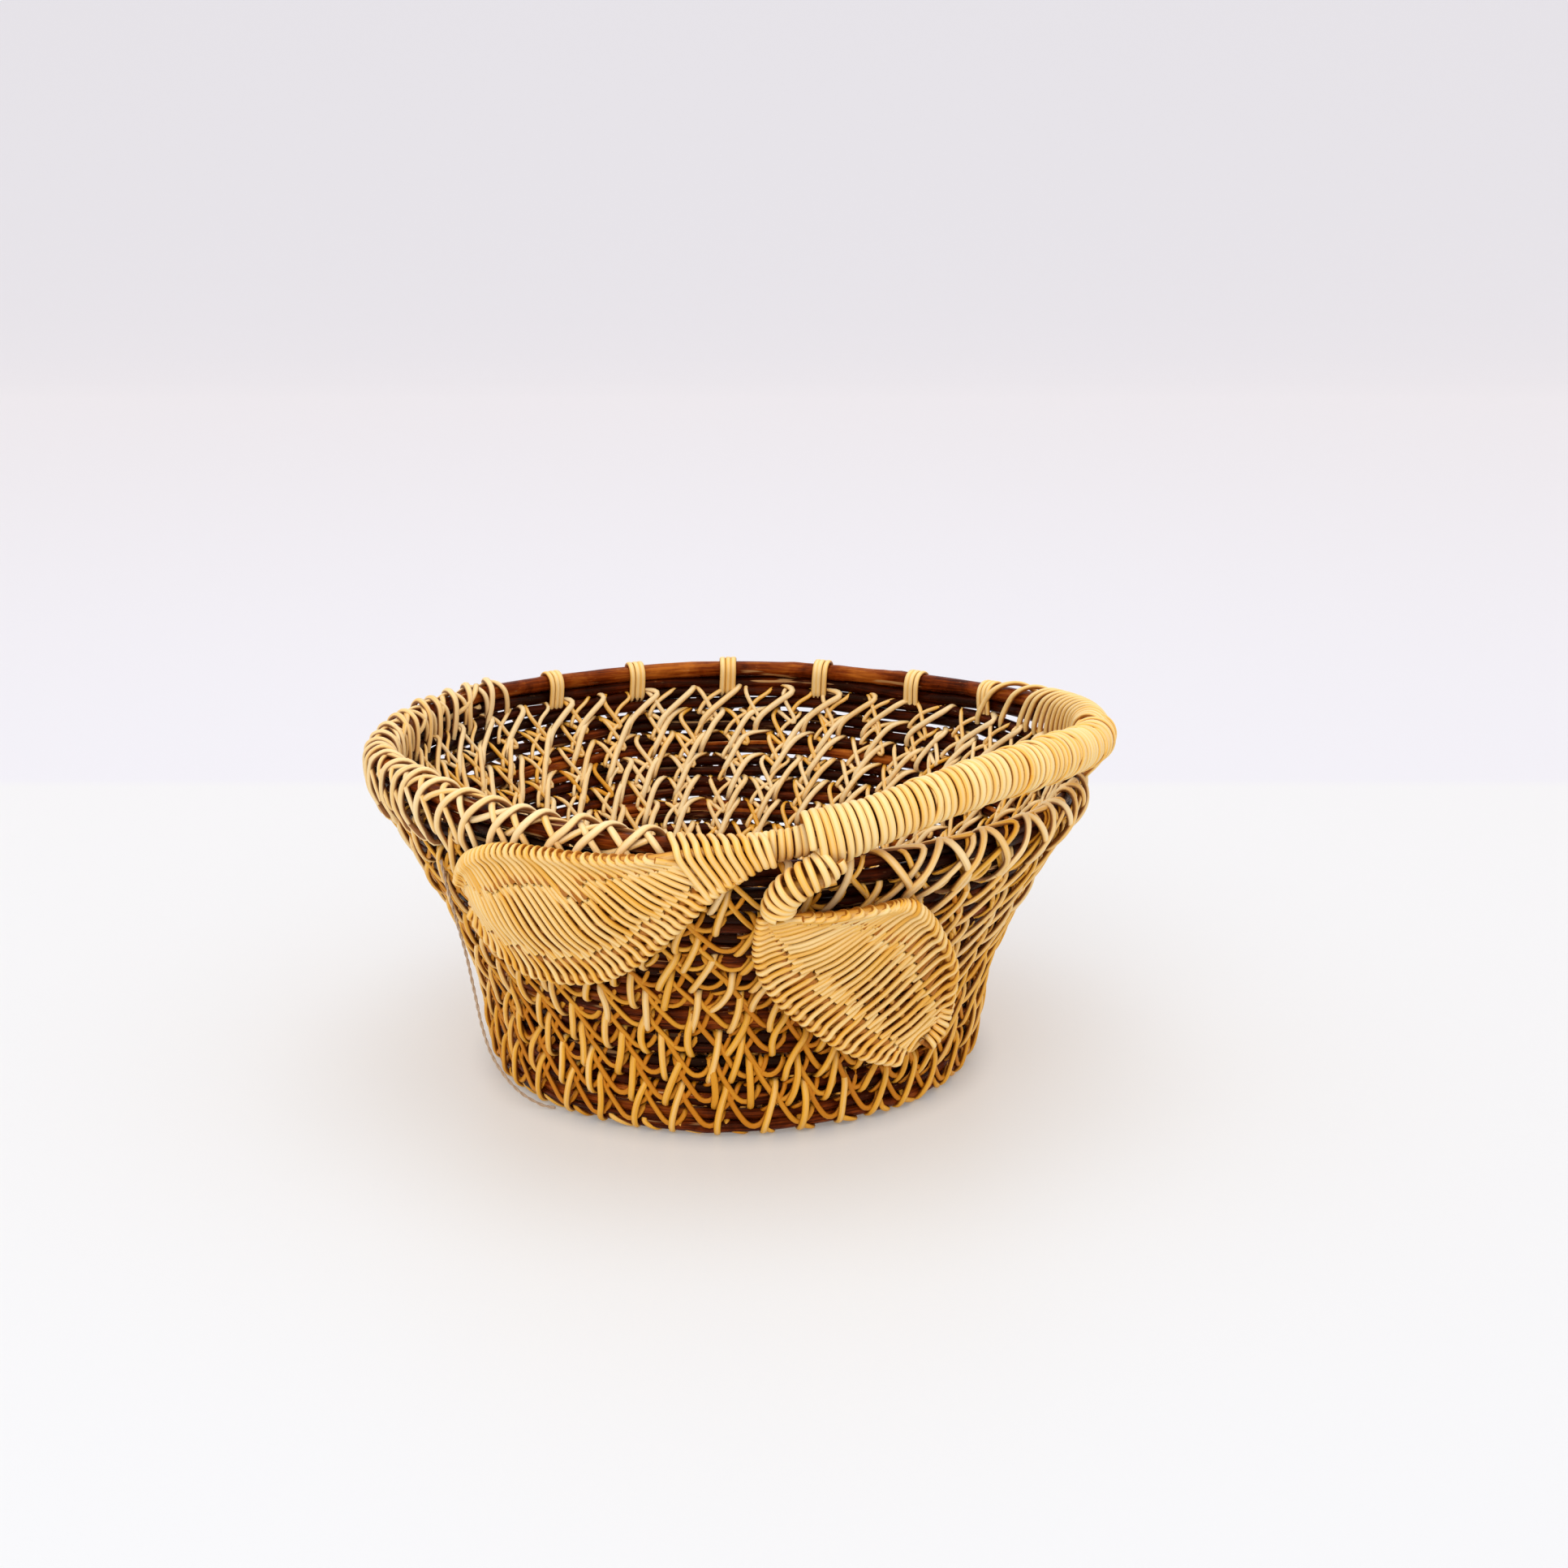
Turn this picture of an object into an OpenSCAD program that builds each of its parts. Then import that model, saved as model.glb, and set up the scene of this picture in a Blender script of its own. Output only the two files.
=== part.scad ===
// Coiled fruit basket: bark-brown rods wound in rows, laced together with pale cane.
// One stretch of the rim is lifted and wrapped as a handle, and two woven cane leaves grow from it.
// Millimetres. The origin is on the table under the middle of the basket, +Z is up, the leaves face -Y.

/* [Body] */
// Radius of the bottom coil, to the middle of its rods
foot_radius = 88; // [80:1:96]
// Radius of the rim, to the middle of its rod
rim_radius = 131; // [122:1:140]
// Height of the rim rod's middle above the table
rim_height = 119.6; // [114:0.1:128]
// Share of the wall's flare that is a plain cone, and not the curve of the belly
cone_share = 0.33; // [0.25:0.01:0.5]

/* [Rods] */
// Thickness of the rods in the coils
rod_diameter = 4.4; // [4:0.1:4.5]
// Distance between the two rods of one coil
rod_spacing = 4.55; // [4.52:0.01:4.7]
// Distance from one wall coil to the next, along the wall
coil_pitch = 10.05; // [9.9:0.05:10.1]
// Thickness of the rim rod
rim_rod_diameter = 6.4; // [5.6:0.1:6.6]

/* [Lashing] */
// Width of one cane
cane_width = 2.6; // [2:0.1:3]
// Thickness of one cane
cane_thickness = 1.8; // [1.4:0.1:1.9]
// Stitches round one wall coil
stitches = 40; // [32:1:44]

/* [Handle] */
// How far the rim rises where it becomes the handle
handle_lift = 14; // [12:0.5:16]
// Thickness of each of the two rods that fill out the handle
filler_diameter = 5.2; // [4.6:0.1:5.3]
// Width of one turn of the handle's wrapping
wrap_width = 3; // [2.6:0.1:3.2]

/* [Leaves] */
// Thickness of the rods that frame a leaf
leaf_rod_diameter = 3.2; // [2.8:0.1:3.6]
// Thickness of a leaf's weave
leaf_thickness = 3.4; // [3:0.1:4]
// Thickness of the loose thread
thread_diameter = 1.2; // [1:0.1:1.4]

/* [Hidden] */
wall_coils = 12;
base_coils = 8;
function two_digits(n) = n < 10 ? str("0", n) : str(n);
NODES = concat(
    [for (k = [1:wall_coils]) str("wall_coil_", two_digits(k))],
    [for (k = [1:wall_coils - 1]) str("wall_lashing_", two_digits(k))],
    [for (k = [1:base_coils]) str("base_coil_", two_digits(k))],
    ["base_centre_knot", "base_lashing", "rim_rod", "rim_lashing", "rim_bands",
     "handle_filler_rods", "handle_wrapping", "handle_ties",
     "left_leaf_top_rod", "left_leaf_spine_rod", "left_leaf_bottom_rod", "left_leaf_weave",
     "right_leaf_stem_rod", "right_leaf_stem_wrapping",
     "right_leaf_top_rod", "right_leaf_spine_rod", "right_leaf_bottom_rod", "right_leaf_weave",
     "loose_thread"]);
node = "all";

bark = [0.36, 0.13, 0.06];
cane = [0.87, 0.70, 0.42];
peeled = [0.78, 0.55, 0.30];

rod_r = rod_diameter / 2;
rim_rod_r = rim_rod_diameter / 2;
leaf_rod_r = leaf_rod_diameter / 2;
clearance = 0.15;       // between a stitch and the rods inside it
foot_press = 0.3;       // how much the lowest stitches are flattened by the table
foot_z = rod_r + clearance + cane_thickness - foot_press;
base_pitch = 9.6;
knot_r = 6;
belt_steps = 6;         // straight steps round each end of an uneven belt

// ---- The wall's profile ----
belly_start = 0.25;
belly_end = 0.98;
function smoothstep(t) = let(u = max(0, min(1, t))) u * u * (3 - 2 * u);
function wall_r(z) = let(t = z / rim_height)
    foot_radius + (rim_radius - foot_radius)
    * (cone_share * t + (1 - cone_share) * smoothstep((t - belly_start) / (belly_end - belly_start)));
function wall_slope(z) = wall_r(z + 0.5) - wall_r(z - 0.5);
function coil_z(k) = k == 1 ? foot_z + rod_spacing / 2
    : let(below = coil_z(k - 1)) below + coil_pitch / sqrt(1 + pow(wall_slope(below + coil_pitch / 2), 2));
// The middle of a wall coil's upper (side 1) or lower (side -1) rod, as [radius, height]
function wall_rod(k, side) = let(
    z = coil_z(k),
    dr = wall_slope(z),
    half = side * rod_spacing / 2 / sqrt(1 + dr * dr))
    [wall_r(z) + dr * half, z + half];
// The middle of a base coil's outer (side 1) or inner (side -1) rod
function base_rod(k, side) =
    [foot_radius - base_pitch * k + side * rod_spacing / 2, foot_z];

// ---- The rim's line ----
lift_peak = -45;        // the angle where the handle is highest
lift_front = -88;       // where it starts to rise, near the leaves
lift_back = 58;         // where it is down on the coils again
bulge_angle = -10;
bulge_reach = 80;
rim_bulge = 3.5;
left_rise = 3.2;        // the rim also stands a little higher on the left
front_dip = 2.1;        // and a little lower by the leaves
function hump(a, low, peak, high) = a <= low || a >= high ? 0
    : a < peak ? 0.5 - 0.5 * cos(180 * (a - low) / (peak - low))
    : 0.5 + 0.5 * cos(180 * (a - peak) / (high - peak));
function rim_line(a) = [
    rim_radius + rim_bulge * hump(a, bulge_angle - bulge_reach, bulge_angle, bulge_angle + bulge_reach),
    rim_height + handle_lift * hump(a, lift_front, lift_peak, lift_back)
        + left_rise * hump(a, -179, -150, -116) - front_dip * hump(a, -135, -88, -60)];

// ---- Sweeps ----
function unit(v) = v / norm(v);
function from_axis(a, rz) = [rz[0] * cos(a), rz[0] * sin(a), rz[1]];
// A point that stands out from the wall's rods at angle a and height z
function on_wall(p) = from_axis(p[0], [wall_r(p[1]) + p[2], p[1]]);
// Points along a smooth curve through pts
function smooth(pts, steps) = [for (i = [0:len(pts) - 2], s = [0:steps - 1]) let(
        t = s / steps,
        a = pts[max(i - 1, 0)], b = pts[i], c = pts[i + 1], d = pts[min(i + 2, len(pts) - 1)])
        0.5 * (2 * b + t * (c - a) + t * t * (2 * a - 5 * b + 4 * c - d) + t * t * t * (3 * b - 3 * c + d - a)),
    pts[len(pts) - 1]];
function ring_at(path, i, r, sides, closed) = let(
    n = len(path),
    before = closed ? path[(i + n - 1) % n] : path[max(i - 1, 0)],
    after = closed ? path[(i + 1) % n] : path[min(i + 1, n - 1)],
    along = unit(after - before),
    out = unit([path[i][0], path[i][1], 0]),
    side = unit(out - (out * along) * along),
    up = cross(along, side))
    [for (s = [0:sides - 1]) path[i] + r * (cos(360 * s / sides) * side + sin(360 * s / sides) * up)];
// A round rod of radius r along path
module swept_rod(path, r, sides = 8, closed = false) {
    n = len(path);
    rings = closed ? n : n - 1;
    points = [for (i = [0:n - 1]) each ring_at(path, i, r, sides, closed)];
    walls = [for (i = [0:rings - 1], s = [0:sides - 1]) let(
        j = (i + 1) % n, t = (s + 1) % sides)
        [i * sides + s, i * sides + t, j * sides + t, j * sides + s]];
    ends = closed ? [] : [[for (s = [sides - 1:-1:0]) s], [for (s = [0:sides - 1]) (n - 1) * sides + s]];
    polyhedron(points = points, faces = concat(walls, ends), convexity = 8);
}

// ---- Stitches ----
// The area inside a belt pulled round two circles, r0 at the start and r1 a distance d along X
module belt_area(d, r0, r1) {
    if (r0 == r1) {
        circle(r = r0, $fn = 24);
        translate([d, 0]) circle(r = r0, $fn = 24);
        translate([0, -r0]) square([d, 2 * r0]);
    } else {
        lean = acos((r0 - r1) / d);
        polygon(concat(
            [for (i = [0:belt_steps]) let(a = lean + (360 - 2 * lean) * i / belt_steps)
                r0 * [cos(a), sin(a)]],
            [for (i = [0:belt_steps]) let(a = -lean + 2 * lean * i / belt_steps)
                [d, 0] + r1 * [cos(a), sin(a)]]));
    }
}
// A closed loop of cane round the rods at p and q, both [radius, height], standing at angle a
module stitch(a, p, q, rp, rq, width = cane_width) {
    d = norm(q - p);
    tilt = atan2(q[1] - p[1], q[0] - p[0]);
    rotate([0, 0, a]) translate([p[0], 0, p[1]]) rotate([90, 0, 0]) rotate([0, 0, tilt])
        linear_extrude(height = width, center = true) difference() {
            belt_area(d, rp + clearance + cane_thickness, rq + clearance + cane_thickness);
            belt_area(d, rp + clearance, rq + clearance);
        }
}

// ---- Wall and base ----
module ring_rod(rz) {
    rotate_extrude($fn = 96) translate(rz) circle(r = rod_r, $fn = 24);
}
module wall_coil(k) {
    color(bark) for (side = [-1, 1]) ring_rod(wall_rod(k, side));
}
module base_coil(k) {
    color(bark) for (side = [-1, 1]) ring_rod(base_rod(k, side));
}
// Takes away whatever would reach below the table, where the stitches are pressed flat
module pressed_flat() {
    difference() {
        children();
        translate([0, 0, -10]) cylinder(h = 10, r = 2 * foot_radius);
    }
}
// Stitches that tie wall coil k to the one above it
module wall_stitches(k) {
    shift = (k % 2) / 2;
    for (i = [0:stitches - 1])
        stitch(360 * (i + shift) / stitches, wall_rod(k, -1), wall_rod(k + 1, 1), rod_r, rod_r);
}
module wall_lashing(k) {
    color(cane) if (k == 1) pressed_flat() wall_stitches(k); else wall_stitches(k);
}
// The hank of cane that the base coil starts from, trimmed flat underneath
module base_centre_knot() {
    color(cane) cylinder(h = foot_z + rod_r, r = knot_r, $fn = 48);
}
// Stitches that tie the foot of the wall and each base coil to the next coil in, fewer towards the middle
module base_lashing() {
    color(cane) pressed_flat() for (k = [0:base_coils - 1]) {
        count = round(stitches / (k < 4 ? 1 : k < 6 ? 2 : 4));
        shift = (k % 2) / 2;
        outer = k == 0 ? wall_rod(1, -1) : base_rod(k, 1);
        for (i = [0:count - 1])
            stitch(360 * (i + shift) / count, base_rod(k + 1, -1), outer, rod_r, rod_r);
    }
}

// ---- Rim and handle ----
rim_steps = 96;
module rim_rod() {
    color(bark) swept_rod([for (i = [0:rim_steps - 1]) let(a = 360 * i / rim_steps - 180)
        from_axis(a, rim_line(a))], rim_rod_r, 8, closed = true);
}
top_coil = wall_rod(wall_coils, -1);
// Stitches over the rim rod on the left, from the front leaf round to the back
rim_lashing_start = 146;
rim_lashing_end = 258;
rim_lashing_count = 14;
module rim_lashing() {
    color(cane) for (i = [0:rim_lashing_count - 1]) {
        a = rim_lashing_start + (rim_lashing_end - rim_lashing_start) * i / (rim_lashing_count - 1);
        stitch(a, top_coil, rim_line(a > 180 ? a - 360 : a), rod_r, rim_rod_r);
    }
}
// Broad triple bands along the back, where the bark of the rim rod shows
module rim_bands() {
    color(cane) for (a = [36:18:126]) stitch(a, top_coil, rim_line(a), rod_r, rim_rod_r, 2.7 * cane_width);
}
// The wrapped handle's bundle is the rim rod and two filler rods. Towards its back end it rolls over, so that
// the fillers pass from beside the rim rod to below it.
filler_r = filler_diameter / 2;
bundle_shift = 3;       // from the rim rod to the middle of the bundle
filler_out = 5.3;
filler_up = 2.8;
filler_start = -78;
filler_end = -8;
roll_start = -36;
roll = 65;
function in_bundle(a, out, up) = let(
    t = -roll * smoothstep((a - roll_start) / (filler_end - roll_start)))
    from_axis(a, rim_line(a) + [out * cos(t) - up * sin(t), out * sin(t) + up * cos(t)]);
module handle_filler_rods() {
    color(bark) for (side = [-1, 1])
        swept_rod([for (a = [filler_start:3.5:filler_end]) in_bundle(a, filler_out, side * filler_up)], filler_r);
}
// One turn of wrapping, square to the line that runs through before and after
module wrap_turn(middle, before, after, inner_r, width) {
    along = unit(after - before);
    translate(middle) rotate([0, acos(along[2]), atan2(along[1], along[0])])
        difference() {
            cylinder(h = width, r = inner_r + cane_thickness, center = true, $fn = 40);
            cylinder(h = width + 1, r = inner_r, center = true, $fn = 40);
        }
}
thick_wrap_r = 6.35;
thin_wrap_r = rim_rod_r + 0.35;
turn_pitch = 1.48;      // degrees round the rim from one turn to the next
thin_turns = 13;
thick_start = -77;
wrap_end = -9;
module handle_turn(a, shift, inner_r) {
    function line(a) = in_bundle(a, shift, 0);
    wrap_turn(line(a), line(a - 1), line(a + 1), inner_r, wrap_width);
}
module handle_wrapping() {
    color(cane) {
        for (i = [1:thin_turns]) handle_turn(thick_start - i * turn_pitch, 0, thin_wrap_r);
        for (a = [thick_start:turn_pitch:wrap_end]) handle_turn(a, bundle_shift, thick_wrap_r);
    }
}
// Long stitches that hold the lifted handle down to the top coil at its back end: close together, then apart
close_ties = [-6.5:1.6:11];
open_ties = [16, 22, 29];
module handle_ties() {
    angles = concat([for (a = close_ties) a], open_ties);
    color(cane) for (a = angles) stitch(a, top_coil, rim_line(a), rod_r, rim_rod_r);
}

// ---- Leaves ----
// Each line runs from the stem to the tip as [angle, height, distance out from the wall's rods].
left_top = [[-86.5, 119.2, 7.6], [-90.5, 118.9, 8.2], [-95, 117.8, 9.4], [-99, 116, 10.3], [-104, 114.7, 10.5],
    [-109, 114.3, 10.5], [-115, 114.1, 10.5], [-121, 112.9, 10.5], [-126.2, 108.3, 10.5], [-128.9, 103.5, 10.5],
    [-130.9, 97, 10.5]];
left_spine = [[-88.5, 114.8, 7.8], [-92, 112.5, 8.8], [-96.5, 107.5, 10], [-101, 100, 11], [-106, 92.5, 11.5],
    [-113, 86, 11.5], [-121, 83, 11.5], [-127, 85, 11], [-129.5, 91, 10.5]];
left_bottom = [[-84.5, 115, 7.4], [-87, 111.5, 8], [-91.3, 105, 9.5], [-95.4, 95, 10], [-99.4, 85.5, 10],
    [-104.9, 74.5, 10], [-111, 67, 10], [-119, 63.3, 10], [-126.6, 64, 10], [-131.3, 72.5, 10], [-132.4, 86, 10]];
right_top = [[-81, 96, 13], [-77, 95.4, 15], [-71, 96, 15], [-65, 95.8, 14], [-60.6, 88.7, 13],
    [-55.4, 77, 12], [-47.7, 60, 11], [-43.2, 43, 10], [-43.2, 34.5, 10]];
right_spine = [[-83.5, 93, 12], [-79.5, 88, 13], [-75, 80.5, 13.5], [-70, 72, 13.5], [-65, 63, 13],
    [-60, 53, 12.5], [-55, 43, 11.5], [-51, 35, 10.5]];
right_bottom = [[-84.2, 94.5, 11], [-84.6, 87, 11], [-84.5, 78, 11], [-82.8, 67, 11], [-79, 56, 11],
    [-73.5, 46, 11], [-67.5, 37, 10.5], [-60.5, 29.5, 10], [-53, 24.5, 10]];
leaf_steps = 5;
function leaf_curve(line) = smooth([for (p = line) on_wall(p)], leaf_steps);
module leaf_rod(line) {
    color(peeled) swept_rod(leaf_curve(line), leaf_rod_r, 6);
}
// The point a share t of the way along a curve's points
function along_curve(curve, t) = let(
    x = t * (len(curve) - 1),
    i = min(floor(x), len(curve) - 2))
    curve[i] + (x - i) * (curve[i + 1] - curve[i]);
// One half of a leaf's weave: a plate that fills the space between two of its rods
plate_steps = 20;
plate_end = 0.96;
left_plate_start = 0.22;
right_plate_start = 0.04;
module leaf_plate(line_a, line_b, start) {
    a = leaf_curve(line_a);
    b = leaf_curve(line_b);
    gap = leaf_rod_r + 0.4;
    corners = [for (i = [0:plate_steps]) let(
        t = start + (plate_end - start) * i / plate_steps,
        p = along_curve(a, t),
        q = along_curve(b, t),
        across = unit(q - p),
        out = unit([p[0] + q[0], p[1] + q[1], 0]),
        thick = leaf_thickness / 2 * out)
        each [p + gap * across + thick, q - gap * across + thick,
              q - gap * across - thick, p + gap * across - thick]];
    walls = [for (i = [0:plate_steps - 1], s = [0:3]) let(t = (s + 1) % 4)
        each [[4 * i + s, 4 * i + 4 + s, 4 * i + t], [4 * i + t, 4 * i + 4 + s, 4 * i + 4 + t]]];
    last = 4 * plate_steps;
    color(cane) polyhedron(points = corners, convexity = 6,
        faces = concat(walls, [[0, 1, 2], [0, 2, 3], [last + 2, last + 1, last], [last + 3, last + 2, last]]));
}
module left_leaf_weave() {
    leaf_plate(left_top, left_spine, left_plate_start);
    leaf_plate(left_spine, left_bottom, left_plate_start);
}
module right_leaf_weave() {
    leaf_plate(right_top, right_spine, right_plate_start);
    leaf_plate(right_spine, right_bottom, right_plate_start);
}
// The wrapped stem that leaves the handle, turns back and runs into the right leaf
stem_line = [[-75.5, 109.5, 12.5], [-79.5, 107, 12], [-82.3, 102.5, 11.5], [-83.2, 99, 11.5]];
stem_r = 2.6;
stem_turns = 6;
stem_turn_width = 1.2;
stem_curve = smooth([for (p = stem_line) on_wall(p)], 6);
module right_leaf_stem_rod() {
    color(peeled) swept_rod(stem_curve, stem_r);
}
module right_leaf_stem_wrapping() {
    color(cane) for (i = [0:stem_turns - 1]) {
        t = 0.05 + 0.9 * i / (stem_turns - 1);
        wrap_turn(along_curve(stem_curve, t), along_curve(stem_curve, t - 0.04),
            along_curve(stem_curve, t + 0.04), stem_r + 0.5, stem_turn_width);
    }
}

// ---- Loose thread ----
// A thread that hangs outside the wall, from under the rim to the foot, as [angle, radius, height]
thread_line = [[-139, 129, 99], [-140, 126, 90], [-141, 121.5, 76], [-141, 118, 62], [-141, 115.5, 49],
    [-141, 112, 31], [-140, 108.5, 19], [-138, 102.5, 8.5], [-135.5, 96, 2.4], [-133, 92, 0.9]];
module loose_thread() {
    color([0.62, 0.50, 0.38])
        swept_rod(smooth([for (p = thread_line) from_axis(p[0], [p[1], p[2]])], 6), thread_diameter / 2);
}

function wanted(name) = node == "all" || node == name;
for (k = [1:wall_coils]) if (wanted(str("wall_coil_", two_digits(k)))) wall_coil(k);
for (k = [1:wall_coils - 1]) if (wanted(str("wall_lashing_", two_digits(k)))) wall_lashing(k);
for (k = [1:base_coils]) if (wanted(str("base_coil_", two_digits(k)))) base_coil(k);
if (wanted("base_centre_knot")) base_centre_knot();
if (wanted("base_lashing")) base_lashing();
if (wanted("rim_rod")) rim_rod();
if (wanted("rim_lashing")) rim_lashing();
if (wanted("rim_bands")) rim_bands();
if (wanted("handle_filler_rods")) handle_filler_rods();
if (wanted("handle_wrapping")) handle_wrapping();
if (wanted("handle_ties")) handle_ties();
if (wanted("left_leaf_top_rod")) leaf_rod(left_top);
if (wanted("left_leaf_spine_rod")) leaf_rod(left_spine);
if (wanted("left_leaf_bottom_rod")) leaf_rod(left_bottom);
if (wanted("left_leaf_weave")) left_leaf_weave();
if (wanted("right_leaf_stem_rod")) right_leaf_stem_rod();
if (wanted("right_leaf_stem_wrapping")) right_leaf_stem_wrapping();
if (wanted("right_leaf_top_rod")) leaf_rod(right_top);
if (wanted("right_leaf_spine_rod")) leaf_rod(right_spine);
if (wanted("right_leaf_bottom_rod")) leaf_rod(right_bottom);
if (wanted("right_leaf_weave")) right_leaf_weave();
if (wanted("loose_thread")) loose_thread();
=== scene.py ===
"""The looks of the coiled fruit basket: bark rods, cane lacing, a wrapped handle and two woven leaves.

Lengths are millimetres and angles are degrees round the basket, until Strands.build makes a mesh in metres.
An angle of -90 is the front, 0 the right and 90 the back. A place on the wall is (angle, s, off):
s runs up the wall's slope from the table, and off stands out from the middle of its rods.
"""
import math

import bpy
import numpy as np
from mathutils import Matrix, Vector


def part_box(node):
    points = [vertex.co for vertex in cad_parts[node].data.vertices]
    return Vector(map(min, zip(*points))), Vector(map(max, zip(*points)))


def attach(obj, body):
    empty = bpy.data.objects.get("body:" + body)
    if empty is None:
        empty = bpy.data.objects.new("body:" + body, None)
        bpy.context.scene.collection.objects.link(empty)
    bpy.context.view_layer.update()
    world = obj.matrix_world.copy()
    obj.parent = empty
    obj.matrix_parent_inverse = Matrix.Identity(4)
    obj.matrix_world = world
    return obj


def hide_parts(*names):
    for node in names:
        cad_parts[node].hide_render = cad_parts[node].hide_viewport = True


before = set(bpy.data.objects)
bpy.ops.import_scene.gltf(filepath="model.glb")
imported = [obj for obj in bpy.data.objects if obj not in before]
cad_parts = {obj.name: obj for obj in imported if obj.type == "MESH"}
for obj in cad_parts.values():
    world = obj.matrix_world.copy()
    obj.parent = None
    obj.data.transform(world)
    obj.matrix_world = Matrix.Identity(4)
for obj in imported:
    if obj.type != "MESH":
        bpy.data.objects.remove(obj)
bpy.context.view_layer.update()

MM = 0.001
COILS = 12
BASE_COILS = 8
STITCHES = 40
PITCH = 360 / STITCHES
ROD_R = 2.2
RIM_ROD_R = 3.2
LEAF_ROD_R = 1.6
SPINE_R = 1.2
SPINE_SUNK = 1.0
STEM_R = 2.6
FOOT_RADIUS = 88.0
RIM_RADIUS = 131.0
RIM_HEIGHT = 119.6
HANDLE_RADIUS = 134.5
BASE_ROD_GAP = 4.55
ROD_STEP = 2.2
UP = np.array([0.0, 0.0, 1.0])

# Width and thickness of each kind of cane.
BAR, GARLAND, LINK = (2.65, 1.9), (2.12, 1.6), (1.88, 1.45)
SHOULDER_LOOP = (2.85, 2.1)
ARCH, CROSSING, WOUND = (2.85, 2.2), (2.5, 1.9), (2.4, 1.8)
BASE_CANE = (2.2, 1.55)
KNOT_CANE = (2.1, 2.0)
BAND = (2.5, 1.5)
THICK_WRAP, THIN_WRAP, EXTRA_WRAP = (2.78, 1.9), (2.45, 1.8), (2.5, 1.8)
BINDING = (2.5, 1.8)
STEM_WRAP, TIP_WRAP = (2.6, 1.8), (2.2, 1.6)
LEAF_CANE = (2.2, 1.6)


def cad_box(node):
    """Lowest and highest corner of a CAD node, in millimetres."""
    low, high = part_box(node)
    return np.array(low) / MM, np.array(high) / MM


# -------- directions and curves

def unit(v):
    return v / np.maximum(np.linalg.norm(v, axis=-1, keepdims=True), 1e-9)


def level(points):
    """Directions from the basket's axis straight out to points."""
    return unit(points * np.array([1, 1, 0.0]))


def square_to(v, along):
    """v turned square to the direction along."""
    return unit(v - np.sum(v * along, axis=-1, keepdims=True) * along)


def turned(outward, upward, turn):
    """Directions that turn, in radians, from outward towards upward."""
    return outward * np.cos(turn)[:, None] + upward * np.sin(turn)[:, None]


def length_of(path):
    return float(np.sum(np.linalg.norm(np.diff(path, axis=0), axis=1)))


def smooth(points, steps=8, closed=False):
    """Points on the Catmull-Rom curve through points."""
    p = np.asarray(points, float)
    if closed:
        p = np.concatenate([p[-1:], p, p[:2]])
    else:
        p = np.concatenate([2 * p[:1] - p[1:2], p, 2 * p[-1:] - p[-2:-1]])
    a, b, c, d = (p[i:len(p) - 3 + i, None, :] for i in range(4))
    t = (np.arange(steps) / steps)[None, :, None]
    q = 0.5 * (2 * b + t * (c - a) + t**2 * (2 * a - 5 * b + 4 * c - d) + t**3 * (3 * b - 3 * c + d - a))
    q = q.reshape(-1, p.shape[1])
    return q if closed else np.concatenate([q, p[-2:-1]])


def resample(points, *rows, step=1.4):
    """Points, and the rows that go with them, spaced evenly about step apart."""
    gaps = np.linalg.norm(np.diff(points, axis=0), axis=1)
    far = np.concatenate([[0], np.cumsum(gaps)])
    at = np.linspace(0, far[-1], max(int(far[-1] / step), 3) + 1)
    return [np.stack([np.interp(at, far, row[:, i]) for i in range(row.shape[1])], axis=1)
            for row in (points, *rows)]


def soften(path, passes):
    """The path with its corners rounded."""
    for _ in range(passes):
        path = np.concatenate([path[:1], (path[:-2] + 2 * path[1:-1] + path[2:]) / 4, path[-1:]])
    return path


def waves(rng, count, length, period, low=1):
    """count smooth random values along length that repeat at its end, about -1 to 1."""
    x = np.linspace(0, 2 * np.pi, count, endpoint=False)
    top = max(int(length / period), low + 1)
    total = np.zeros(count)
    for n in range(low, top + 1):
        total += rng.normal() / math.sqrt(top - low + 1) * np.sin(n * x + rng.uniform(0, 6.28))
    return total


def shades(tone, depth, wear):
    """(tone, depth, wear) at each point of a strand. At least one of them changes along it."""
    return np.stack(np.broadcast_arrays(tone, depth, wear), axis=1)


class Curve:
    """A smooth curve that a share t of the way along it can be asked for."""

    def __init__(self, points):
        self.points = smooth(points, 24)
        self.share = np.linspace(0, 1, len(self.points))

    def at(self, t):
        t = np.clip(t, 0, 1)
        return np.stack([np.interp(t, self.share, self.points[:, i]) for i in range(3)], axis=-1)

    def crossing(self, start, end):
        """Where the curve passes the line from start to end, at most 4 mm off, and how far along that is."""
        way = end - start
        share = np.clip((self.points - start) @ way / np.dot(way, way), 0.25, 0.75)
        gaps = np.linalg.norm(self.points - start - share[:, None] * way, axis=1)
        i = int(np.argmin(gaps))
        pull = min(1.0, 4.0 / max(gaps[i], 1e-6))
        on_line = start + share[i] * way
        return on_line + pull * (self.points[i] - on_line), float(share[i])


# -------- the wall and the rim, as the CAD has them

def wall_profile():
    """Tables of s, radius and height up the wall, and each coil's (lower, upper) rod height."""
    rods = []
    radii = []
    for k in range(1, COILS + 1):
        low, high = cad_box(f"wall_coil_{k:02d}")
        rods.append((low[2] + ROD_R, high[2] - ROD_R))
        radii.append(high[0] - ROD_R)
    upper = [pair[1] for pair in rods]
    z = np.linspace(-20, 150, 1701)
    r = np.interp(z, upper + [RIM_HEIGHT, 150], radii + [RIM_RADIUS, RIM_RADIUS + 1])
    window = np.ones(81) / 81
    r = np.convolve(np.pad(r, 40, mode="edge"), window, mode="valid")
    s = np.concatenate([[0], np.cumsum(np.hypot(np.diff(z), np.diff(r)))])
    return s - np.interp(0, z, s), r, z, rods


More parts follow.
